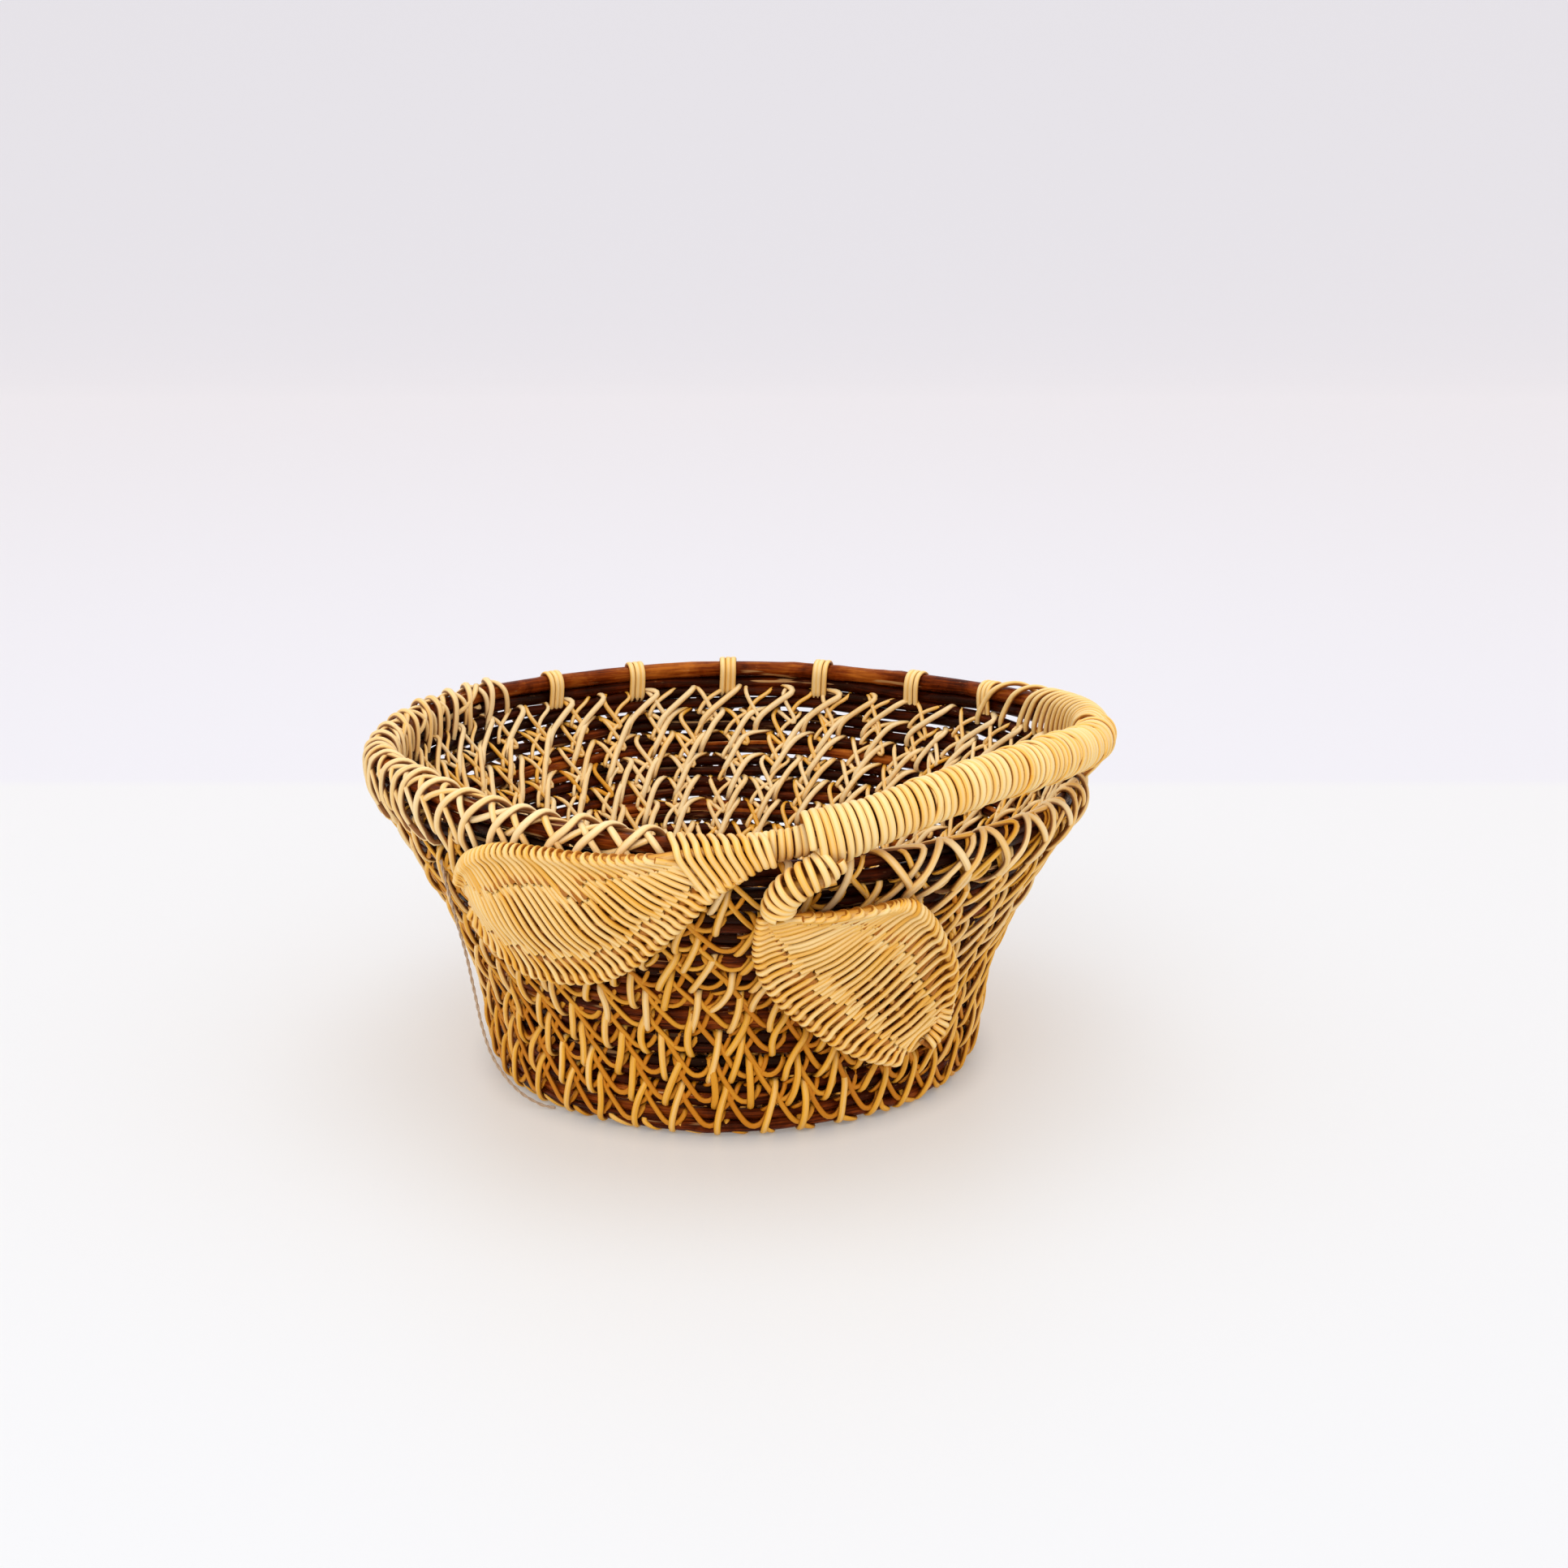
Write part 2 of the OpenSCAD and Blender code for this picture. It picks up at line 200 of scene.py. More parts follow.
S_TABLE, R_TABLE, Z_TABLE, ROD_HEIGHTS = wall_profile()
ROD_S = [tuple(float(np.interp(z, Z_TABLE, S_TABLE)) for z in pair) for pair in ROD_HEIGHTS]


def unevenness(angle, z):
    """How far the hand-made wall strays from round, outwards and upwards.

    It waves a little. Its upper half is narrower from left to right, and between the foot and the rim it
    bends in on the left, and less so on the right.
    """
    a = np.radians(angle)
    right, left = np.clip(np.cos(a), 0, 1), np.clip(-np.cos(a), 0, 1)
    out = 0.7 * np.sin(2 * a + 0.8) + 0.5 * np.sin(3 * a + z / 22) + 0.35 * np.sin(7 * a - z / 13)
    out = out - 2.0 * np.abs(np.cos(a)) ** 3 * np.clip((z - 30) / 50, 0, 1)
    out = out - 5.0 * left ** 6 * np.exp(-((z - 84) / 25) ** 2)
    out = out - 2.0 * right ** 6 * np.exp(-((z - 86) / 16) ** 2)
    up = 0.45 * np.sin(3 * a + 2.1) + 0.35 * np.sin(5 * a + z / 17)
    return out, up * np.clip((z - 4) / 20, 0, 1)


def wall(angle, s, off):
    """Points of the wall, and the wall's outward and upward directions there."""
    angle, s, off = np.broadcast_arrays(*(np.asarray(v, float) for v in (angle, s, off)))
    r = np.interp(s, S_TABLE, R_TABLE)
    z = np.interp(s, S_TABLE, Z_TABLE)
    slope = np.arctan2(np.interp(s + 1, S_TABLE, R_TABLE) - np.interp(s - 1, S_TABLE, R_TABLE),
                       np.interp(s + 1, S_TABLE, Z_TABLE) - np.interp(s - 1, S_TABLE, Z_TABLE))
    out, up = unevenness(angle, z)
    r = r + off * np.cos(slope) + out
    z = z - off * np.sin(slope) + up
    outward = round_axis(angle, np.cos(slope), -np.sin(slope))
    upward = round_axis(angle, np.sin(slope), np.cos(slope))
    return round_axis(angle, r, z), outward, upward


def off_wall(line):
    """Points that stand straight out from the wall's rods, as part.scad places them."""
    angle, z, off = np.array(line, float).T
    return round_axis(angle, np.interp(z, Z_TABLE, R_TABLE) + off, z)


def hump(a, low, peak, high):
    """0 at low and high, 1 at peak, and smooth between."""
    rise = 0.5 - 0.5 * np.cos(np.pi * np.clip((a - low) / (peak - low), 0, 1))
    fall = 0.5 + 0.5 * np.cos(np.pi * np.clip((a - peak) / (high - peak), 0, 1))
    return np.where(a < peak, rise, fall)


def rim_line(angle):
    """Radius and height of the rim rod's middle, as part.scad has them."""
    a = (np.asarray(angle, float) + 180) % 360 - 180
    handle, left, dip = hump(a, -88, -45, 58), hump(a, -179, -150, -116), hump(a, -135, -88, -60)
    return RIM_RADIUS + 3.5 * hump(a, -90, -10, 70), RIM_HEIGHT + 14 * handle + 3.2 * left - 2.1 * dip


def round_axis(angle, radius, height):
    """Points at an angle and a radius round the basket's axis."""
    a = np.radians(angle)
    return np.stack(np.broadcast_arrays(radius * np.cos(a), radius * np.sin(a), height), axis=-1)


def rim_frame(angle, shift=0.0):
    """Points of the rim's line moved out by shift, and the outward and upward directions square to it."""
    def line(a):
        radius, height = rim_line(a)
        out, up = unevenness(a, height)
        return round_axis(a, radius + shift + out, height + up)
    angle = np.asarray(angle, float)
    along = unit(line(angle + 0.5) - line(angle - 0.5))
    outward = square_to(round_axis(angle, 1.0, 0.0), along)
    return line(angle), outward, np.cross(outward, along)


def bundle_frame(angle, out, up=0.0):
    """A line in the handle's bundle, out and up from the rim rod until the bundle rolls over near its end."""
    share = np.clip((np.asarray(angle, float) + 36) / 28, 0, 1)
    turn = -np.radians(65) * share**2 * (3 - 2 * share)
    middle, outward, upward = rim_frame(angle)
    middle = middle + outward * (out * np.cos(turn) - up * np.sin(turn))[..., None]
    middle = middle + upward * (out * np.sin(turn) + up * np.cos(turn))[..., None]
    return middle, outward, upward


# -------- meshes

class Strands:
    """Rods and canes that end up in one mesh."""

    def __init__(self):
        self.points, self.quads, self.caps, self.uv, self.tint = [], [], [], [], []
        self.count = 0

    def add(self, path, away, section, tint, sides=8, closed=False, relief=None, taper=0.0):
        """A strand along path. away points off what it lies on, section is its (width, thickness) and tint is
        (tone, depth, wear)."""
        n = len(path)
        if closed:
            along = np.roll(path, -1, axis=0) - np.roll(path, 1, axis=0)
        else:
            along = np.gradient(path, axis=0)
        along = unit(along)
        side = unit(np.cross(along, away))
        up = np.cross(side, along)
        ring = np.ones((n, sides)) if relief is None else relief
        if taper:
            ends = np.minimum(np.arange(n), np.arange(n)[::-1]) / taper
            ring = ring * np.clip(0.35 + 0.65 * ends, 0, 1)[:, None]
        turn = 2 * np.pi * np.arange(sides) / sides
        width, thickness = (np.broadcast_to(np.asarray(size, float) / 2, (n,))[:, None] for size in section)
        wide, high = width * ring * np.cos(turn), thickness * ring * np.sin(turn)
        points = path[:, None, :] + wide[..., None] * side[:, None, :] + high[..., None] * up[:, None, :]
        self.points.append(points.reshape(-1, 3))
        tint = np.broadcast_to(np.asarray(tint, float), (n, 3))
        self.tint.append(np.repeat(np.concatenate([tint, np.ones((n, 1))], axis=1), sides, axis=0))
        self.add_faces(path, sides, closed)
        self.count += n * sides

    def add_faces(self, path, sides, closed):
        """The strand's quads, with u along it in metres and v round it, and its caps."""
        n = len(path)
        i, j = np.meshgrid(np.arange(n if closed else n - 1), np.arange(sides), indexing="ij")
        i2, j2 = (i + 1) % n, (j + 1) % sides
        quads = np.stack([i * sides + j, i2 * sides + j, i2 * sides + j2, i * sides + j2], axis=-1)
        gaps = np.linalg.norm(np.diff(path, axis=0, append=path[:1]), axis=1)
        far = np.concatenate([[0], np.cumsum(gaps)])
        u = np.stack([far[i], far[i + 1], far[i + 1], far[i]], axis=-1) * MM + self.count * 0.37
        v = np.stack([j, j, j + 1, j + 1], axis=-1) / sides
        self.quads.append(quads.reshape(-1, 4) + self.count)
        self.uv.append(np.stack([u, v], axis=-1).reshape(-1, 2))
        if not closed:
            first = np.arange(sides)
            self.caps += [first + self.count, (n - 1) * sides + first[::-1] + self.count]

    def rod(self, path, away, radius, tint, sides=12, closed=False, relief=None, taper=0.0):
        self.add(path, away, (2 * radius, 2 * radius), tint, sides, closed, relief, taper)

    def build(self, name, material, slot, *nodes):
        """The piece, which rides on the basket and stands for the CAD nodes."""
        points = np.concatenate(self.points) * MM
        quads = np.concatenate(self.quads)
        cap_sizes = [len(c) for c in self.caps]
        corners = np.concatenate([quads.ravel()] + self.caps)
        sizes = np.concatenate([np.full(len(quads), 4), cap_sizes]).astype(np.int32)
        mesh = bpy.data.meshes.new(name)
        mesh.vertices.add(len(points))
        mesh.vertices.foreach_set("co", points.astype(np.float32).ravel())
        mesh.loops.add(len(corners))
        mesh.loops.foreach_set("vertex_index", corners.astype(np.int32))
        mesh.polygons.add(len(sizes))
        mesh.polygons.foreach_set("loop_start", (np.cumsum(sizes) - sizes).astype(np.int32))
        mesh.polygons.foreach_set("use_smooth", sizes == 4)
        uv = np.concatenate(self.uv + [np.zeros((sum(cap_sizes), 2))])
        mesh.uv_layers.new(name="Strand").data.foreach_set("uv", uv.astype(np.float32).ravel())
        tint = mesh.attributes.new("tint", "FLOAT_COLOR", "POINT")
        tint.data.foreach_set("color", np.concatenate(self.tint).astype(np.float32).ravel())
        mesh.update(calc_edges=True)
        mesh.validate()
        mesh.materials.append(material)
        piece = bpy.data.objects.new(name, mesh)
        bpy.context.scene.collection.objects.link(piece)
        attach(piece, "root")
        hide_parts(*nodes)
        return piece


def begin(seed):
    """A piece's own random draws, and its strands."""
    return np.random.default_rng(seed), Strands()


def rough(rng, n, sides, grain=0.03, swell=0.04, knots=0, knot_size=0.22):
    """How far each point of a rod's rings stands from a true tube: grain, swellings and knots."""
    along = np.repeat(rng.normal(size=(n // 4 + 2, sides)), 4, axis=0)[:n]
    window = np.ones(5) / 5
    along = np.stack([np.convolve(along[:, j], window, mode="same") for j in range(sides)], axis=1)
    relief = 1 + grain * along + swell * waves(rng, n, n, 25)[:, None]
    turn = 2 * np.pi * np.arange(sides) / sides
    for _ in range(knots):
        at, side = rng.integers(0, n), rng.uniform(0, 2 * np.pi)
        near = np.exp(-((np.arange(n) - at) / 1.6) ** 2)[:, None]
        relief = relief + knot_size * near * (0.55 + 0.45 * np.cos(turn - side))
    return relief


# -------- materials

class Nodes:
    """A short way to write a material's node tree."""

    def __init__(self, name):
        self.material = bpy.data.materials.new(name)
        self.material.use_nodes = True
        self.tree = self.material.node_tree
        self.shader = self.tree.nodes["Principled BSDF"]

    def node(self, kind, settings=(), **inputs):
        made = self.tree.nodes.new("ShaderNode" + kind)
        for key, value in dict(settings).items():
            setattr(made, key, value)
        for key, value in inputs.items():
            self.plug(made, key.replace("_", " "), value)
        return made

    def plug(self, node, socket, value):
        """Links or sets a socket, which is given by its name, or by its number as in0, in1 and so on."""
        number = socket.removeprefix("in")
        target = node.inputs[int(number) if number.isdigit() else socket]
        if isinstance(value, bpy.types.NodeSocket):
            self.tree.links.new(value, target)
        else:
            target.default_value = value

    def surface(self, **sockets):
        """The finished material, with the shader's own sockets linked or set."""
        for name, value in sockets.items():
            self.plug(self.shader, name.replace("_", " "), value)
        return self.material

    def math(self, operation, a, b=0.0):
        return self.node("Math", {"operation": operation}, in0=a, in1=b).outputs[0]

    def plus(self, a, b):
        return self.math("ADD", a, b)

    def minus(self, a, b):
        return self.math("SUBTRACT", a, b)

    def times(self, a, b):
        return self.math("MULTIPLY", a, b)

    def mix(self, factor, a, b):
        return self.node("Mix", {"data_type": "RGBA"}, in0=factor, in6=a, in7=b).outputs[2]

    def ramp(self, factor, *stops):
        made = self.node("ValToRGB", Fac=factor)
        ramp = made.color_ramp
        ramp.elements[0].position, ramp.elements[0].color = stops[0][0], (*stops[0][1], 1)
        ramp.elements[1].position, ramp.elements[1].color = stops[-1][0], (*stops[-1][1], 1)
        for position, colour in stops[1:-1]:
            ramp.elements.new(position).color = (*colour, 1)
        return made.outputs[0]

    def step(self, value, low, high):
        """0 below low, 1 above high."""
        return self.node("MapRange", {"interpolation_type": "SMOOTHSTEP"}, Value=value,
                         From_Min=low, From_Max=high).outputs[0]

    def noise(self, vector, scale, detail=3.0, roughness=0.55, distortion=0.0):
        return self.node("TexNoise", Vector=vector, Scale=scale, Detail=detail, Roughness=roughness,
                         Distortion=distortion).outputs[0]

    def grain(self, along, around, detail=3.0, roughness=0.55, distortion=0.0):
        """Noise that runs along a strand and round it, finer with along, per metre, and around, per turn."""
        way, turn = self.strand()
        vector = self.node("CombineXYZ", X=self.times(way, along),
                           Y=self.times(self.math("COSINE", turn), around),
                           Z=self.times(self.math("SINE", turn), around)).outputs[0]
        return self.noise(vector, 1.0, detail, roughness, distortion)

    def strand(self):
        """Metres along a strand, and radians round it."""
        uv = self.node("UVMap", {"uv_map": "Strand"}).outputs[0]
        parts = self.node("SeparateXYZ", Vector=uv).outputs
        return parts[0], self.times(parts[1], 2 * math.pi)

    def crown(self):
        """1 along a strand's crown, 0 down its sides and -1 on its back."""
        return self.math("SINE", self.strand()[1])

    def place(self):
        return self.node("TexCoord").outputs["Object"]

    def tint(self):
        """The strand's tone and wear, and its depth, which canes paint as shade where it lies under others.
        """
        colour = self.node("Attribute", {"attribute_name": "tint"}).outputs["Color"]
        return self.node("SeparateColor", Color=colour).outputs[:3]

    def bump(self, height, strength, distance, below=None):
        made = self.node("Bump", Height=height, Strength=strength, Distance=distance)
        if below is not None:
            self.plug(made, "Normal", below)
        return made.outputs[0]


def bark_material():
    """Bark, near black to russet by its fibres, patches and tone, with pale scars and peeled places."""
    m = Nodes("bark")
    tone, _, wear = m.tint()
    fibre = m.grain(55, 2.6, 5, 0.65, 0.3)
    patch = m.noise(m.place(), 60, 4, 0.6, 0.5)
    mixed = m.plus(m.times(fibre, 0.5), m.times(patch, 0.5))
    mixed = m.plus(mixed, m.times(m.minus(tone, 0.5), 0.42))
    colour = m.ramp(mixed, (0.30, (0.006, 0.0006, 0.0001)), (0.44, (0.022, 0.0022, 0.0003)),
                    (0.55, (0.075, 0.009, 0.0008)), (0.66, (0.23, 0.042, 0.003)), (0.82, (0.50, 0.16, 0.020)))
    scars = m.step(m.grain(190, 3.2, 3, 0.6), 0.66, 0.74)
    colour = m.mix(m.times(scars, 0.55), colour, (0.50, 0.27, 0.11, 1))
    peeled = m.step(m.grain(30, 0.9, 2, 0.5), 0.66, 0.70)
    colour = m.mix(m.times(peeled, wear), colour, (0.56, 0.33, 0.14, 1))
    normal = m.bump(m.grain(900, 5.0, 2), 0.25, 0.0002, m.bump(fibre, 0.55, 0.0006))
    return m.surface(Base_Color=colour, Roughness=m.ramp(patch, (0.3, (0.20,) * 3), (0.7, (0.38,) * 3)),
                     Specular_IOR_Level=0.20, Specular_Tint=(1.0, 0.55, 0.30, 1), Normal=normal)


def cane_material(name, pale, golden, amber, side, side_from=0.72):
    """Round cane: pale where it is new, golden to amber where tone and depth say so, with tan flecks. The
    extra depth of strands that lie under others is painted shade.

    A painted highlight makes the crown of the paler canes paler. From side_from down to its back, painted
    shade of the crevices between strands darkens it to side.
    """
    m = Nodes(name)
    tone, depth, wear = m.tint()
    drift = m.grain(14, 0.35, 3, 0.5)
    fibre = m.grain(60, 7.0, 3, 0.6)
    warm = m.plus(m.plus(m.times(drift, 0.55), m.times(tone, 0.45)), m.times(depth, 0.45))
    warm = m.plus(warm, m.times(m.minus(fibre, 0.5), 0.30))
    colour = m.ramp(warm, (0.26, pale), (0.60, golden), (0.98, amber))
    colour = m.mix(m.times(m.step(fibre, 0.62, 0.78), 0.22), colour, (0.42, 0.23, 0.08, 1))
    flecks = m.step(m.grain(420, 2.2, 2, 0.5), 0.70, 0.76)
    colour = m.mix(m.times(flecks, 0.55), colour, (0.36, 0.17, 0.055, 1))
    stains = m.times(m.step(m.grain(65, 0.8, 4, 0.65), 0.62, 0.72), wear)
    colour = m.mix(m.times(stains, 0.75), colour, (0.36, 0.16, 0.045, 1))
    crown = m.crown()
    # Painted highlight: the crown of the paler canes is made paler still. Here worn stands for this
    # highlight, not for wear.
    young = m.minus(1.0, m.step(warm, 0.45, 0.80))
    worn = m.times(m.times(m.step(crown, 0.82, 1.0), 0.34), young)
    colour = m.mix(worn, colour, (1.0, 0.85, 0.60, 1))
    # Painted shade: the sides and back of each strand are darkened towards side, standing in for the shade of
    # the crevices between strands.
    painted_crevice_shade = m.minus(1.0, m.step(crown, side_from - 0.72, side_from))
    colour = m.mix(m.times(painted_crevice_shade, 0.88), colour, (*side, 1))
    normal = m.bump(flecks, 0.3, 0.0002, m.bump(fibre, 0.35, 0.0002))
    return m.surface(Base_Color=colour, Roughness=m.ramp(fibre, (0.3, (0.34,) * 3), (0.7, (0.50,) * 3)),
                     Specular_IOR_Level=0.45, Specular_Tint=(1.0, 0.84, 0.60, 1), Coat_Weight=0.06,
                     Coat_Roughness=0.25, Normal=normal)


def thread_material():
    """Dull brown thread, lighter and darker along its lay."""
    m = Nodes("thread")
    lay = m.grain(2600, 2.0, 2, 0.5)
    fuzz = m.noise(m.place(), 3000, 2, 0.6)
    colour = m.ramp(m.plus(m.times(lay, 0.6), m.times(fuzz, 0.4)),
                    (0.3, (0.42, 0.29, 0.19)), (0.7, (0.70, 0.54, 0.38)))
    return m.surface(Base_Color=colour, Roughness=0.85, Sheen_Weight=0.3, Normal=m.bump(lay, 0.6, 0.0002))


BARK = bark_material()
# In each cane the last colour is painted shade, for the sides and back of a strand where it meets its
# neighbours.
CANE = cane_material("cane", (0.97, 0.75, 0.41), (0.88, 0.47, 0.045), (0.62, 0.235, 0.006),
                     (0.25, 0.062, 0.001), 0.56)
WRAP_CANE = cane_material("wrapping_cane", (0.98, 0.72, 0.30), (0.92, 0.50, 0.060), (0.72, 0.30, 0.010),
                          (0.42, 0.125, 0.002))
PEELED = cane_material("peeled_rod", (0.86, 0.52, 0.16), (0.74, 0.38, 0.06), (0.52, 0.20, 0.01),
                       (0.40, 0.13, 0.004))
THREAD = thread_material()


# -------- rods of the wall, the base and the rim

def ring_of_rod(rng, strands, s, off, radius, tone, wear, start=0.0, span=360.0):
    """One rod round the wall at (s, off), or a span of it from start, which strays a little as it goes."""
    length = 2 * np.pi * np.interp(s, S_TABLE, R_TABLE) * span / 360
    n = int(length / ROD_STEP)
    closed = span >= 360
    angle = start + span * np.arange(n) / (n if closed else n - 1)
    stray_s = 0.42 * waves(rng, n, length, 60, 2)
    stray_off = 0.36 * waves(rng, n, length, 60, 2)
    path, outward, _ = wall(angle, s + stray_s, off + stray_off)
    tint = shades(tone + 0.16 * waves(rng, n, length, 90), 0.5, wear)
    relief = rough(rng, n, 12, knots=int(length / 110))
    path[:, 2] = np.maximum(path[:, 2], radius + 1.2)
    strands.rod(path, outward, radius, tint, 12, closed, relief, 0 if closed else 3)


def wall_rods(k):
    """The rods of wall coil k: two stout ones, and here and there a thin one beside them."""
    rng, strands = begin(100 + k)
    low, high = ROD_S[k - 1]
    for s in (low, high):
        tone = rng.uniform(0.30, 0.72)
        ring_of_rod(rng, strands, s, rng.uniform(-0.3, 0.3), ROD_R * rng.uniform(0.94, 1.02), tone,
                    rng.uniform(0, 0.8))
    for _ in range(3):
        off = 1.7 * rng.choice([-1, 1])
        s = (low + high) / 2 + rng.uniform(-0.6, 0.6)
        ring_of_rod(rng, strands, s, off, rng.uniform(0.9, 1.3), rng.uniform(0.5, 1.0), 1.0,
                    rng.uniform(0, 360), rng.uniform(35, 120))
    strands.build(f"coil_{k:02d}_rods", BARK, "bark_rod", f"wall_coil_{k:02d}")


def base_rods(k):
    """The two rods of base coil k."""
    rng, strands = begin(200 + k)
    low, high = cad_box(f"base_coil_{k:02d}")
    outer = high[0] - ROD_R
    height = (low[2] + high[2]) / 2
    for radius in (outer, outer - BASE_ROD_GAP):
        length = 2 * np.pi * radius
        n = max(int(length / ROD_STEP), 16)
        path = round_axis(360 * np.arange(n) / n, radius + 0.25 * waves(rng, n, length, 60),
                          height + 0.12 * waves(rng, n, length, 60))
        tint = shades(rng.uniform(0.3, 0.7) + 0.1 * waves(rng, n, length, 60), 0.5, 0.6)
        relief = rough(rng, n, 12, 0.02, 0.03, int(length / 150))
        strands.rod(path, UP, ROD_R, tint, closed=True, relief=relief)
    strands.build(f"base_coil_{k:02d}_rods", BARK, "bark_rod", f"base_coil_{k:02d}")


# Start, span, distance out and up from the rim's line, radius and tone of each rod of the rim: the stout one,
# which goes all the way round, thin ones beside and under it, and a short dark one over its lap.
RIM_RODS = [(-152, 372, 0.0, 0.0, RIM_ROD_R, 0.84), (22, 150, 2.6, -3.4, 1.7, 0.65),
            (20, 196, -0.4, -5.9, 2.5, 0.45), (-176, 70, 2.2, -4.4, 1.8, 0.30),
            (-152, 9.5, 2.4, 2.0, 2.1, -0.2)]


def rim_rods():
    """The rim's rods. The stout one's two ends lap on the left."""
    rng, strands = begin(300)
    for start, span, across, up, radius, tone in RIM_RODS:
        n = int(math.radians(span) * RIM_RADIUS / 2.0)
        length = span * 2.3
        middle, outward, upward = rim_frame(start + span * np.arange(n) / (n - 1))
        lap = np.clip((np.arange(n) - n + 50) / 40, 0, 1) if span > 360 else np.zeros(n)
        path = middle + outward * (across + 0.9 * lap[:, None]) + upward * (up + 1.3 * lap[:, None])
        path += outward * (0.4 * waves(rng, n, length, 70, 2))[:, None]
        path += upward * (0.4 * waves(rng, n, length, 70, 2))[:, None]
        tint = shades(tone + 0.2 * waves(rng, n, length, 60), 0.5, 0.9)
        relief = rough(rng, n, 16, 0.022, 0.035, int(span / 25) if span > 20 else 5, 0.16)
        strands.rod(path, outward, radius, tint, 16, False, relief, 4)
    strands.build("rim_rods", BARK, "bark_rod", "rim_rod")


# -------- stitches

def away_from_core(s, off, low, high):
    """The direction in (s, off) that points away from rods between s = low and s = high."""
    return unit(np.stack([s - np.clip(s, low, high), off], axis=-1) + np.array([0, 1e-6]))


def lace(strands, knots, low, high, section, tint, step=1.65):
    """A strand through knots, (angle, s, off) places on the wall, laid flat on the rods between low and high.

    Inside the basket it is paler.
    """
    line = smooth(knots, 6)
    path, outward, upward = wall(line[:, 0], line[:, 1], line[:, 2])
    away = away_from_core(line[:, 1], line[:, 2], low, high)
    away = away[:, :1] * upward + away[:, 1:] * outward
    path[:, 2] = np.maximum(path[:, 2], section[1] / 2 + 0.02)
    path, away, line = resample(path, away, line, step=step)
    inside = np.clip(-line[:, 2:] / 3, 0, 1)
    tint = np.array(tint) - inside * np.array([0.34, 0.85 * tint[1], 0.0])
    strands.add(soften(path, 2), unit(soften(away, 2)), section, tint)


def leaning(a, scale, *rows):
    """Knots from rows of (share, s, off): share times scale is how far each knot is from the angle a."""
    return [(a + scale * share, s, off) for share, s, off in rows]


def lengths(knots, count):
    """The knots in lengths of count, each with the next one's first knot so that the canes meet."""
    return [knots[i:i + count + 1] for i in range(0, len(knots) - 1, count)]


def slant(angle, k):
    """How far a bar leans from top to foot, as a share of the pitch: most on the right, below the handle."""
    turn = (angle + 38 + 180) % 360 - 180
    return (0.26 + (0.25 + 0.055 * k) * math.exp(-(turn / 34) ** 2)
            + 0.10 * math.sin(math.radians(2 * angle + 40 * k)))


def shoulder_loops(strands, rng, low, high):
    """Below the handle, stout loops over the top coil that lean both ways and stand well off the wall."""
    middle = (low + high) / 2
    for i in range(19):
        a = -64 + 4.7 * i + rng.normal(0, 0.7)
        lean = (3.4 if i % 2 else -3.0) + rng.normal(0, 0.4)
        proud = 5.6 + 0.6 * (i % 2) + rng.normal(0, 0.2)
        knots = leaning(
            a, lean, (-0.9, low - 1.5, 3.3), (-1, middle - 2, proud), (-0.45, high - 3, proud + 0.5),
            (0.15, high + 2.4, 3.4), (0.5, high + 3.6, -0.2), (0.8, high + 0.5, -3.6), (1, middle, -3.9),
            (0.8, low - 1, -3.3), (0.1, low - 3.3, -0.4), (-0.6, low - 3.0, 2.0), (-0.9, low - 0.2, 4.0))
        lace(strands, knots, low, high, SHOULDER_LOOP, (rng.uniform(0.1, 0.45), 0.0, 0.4))


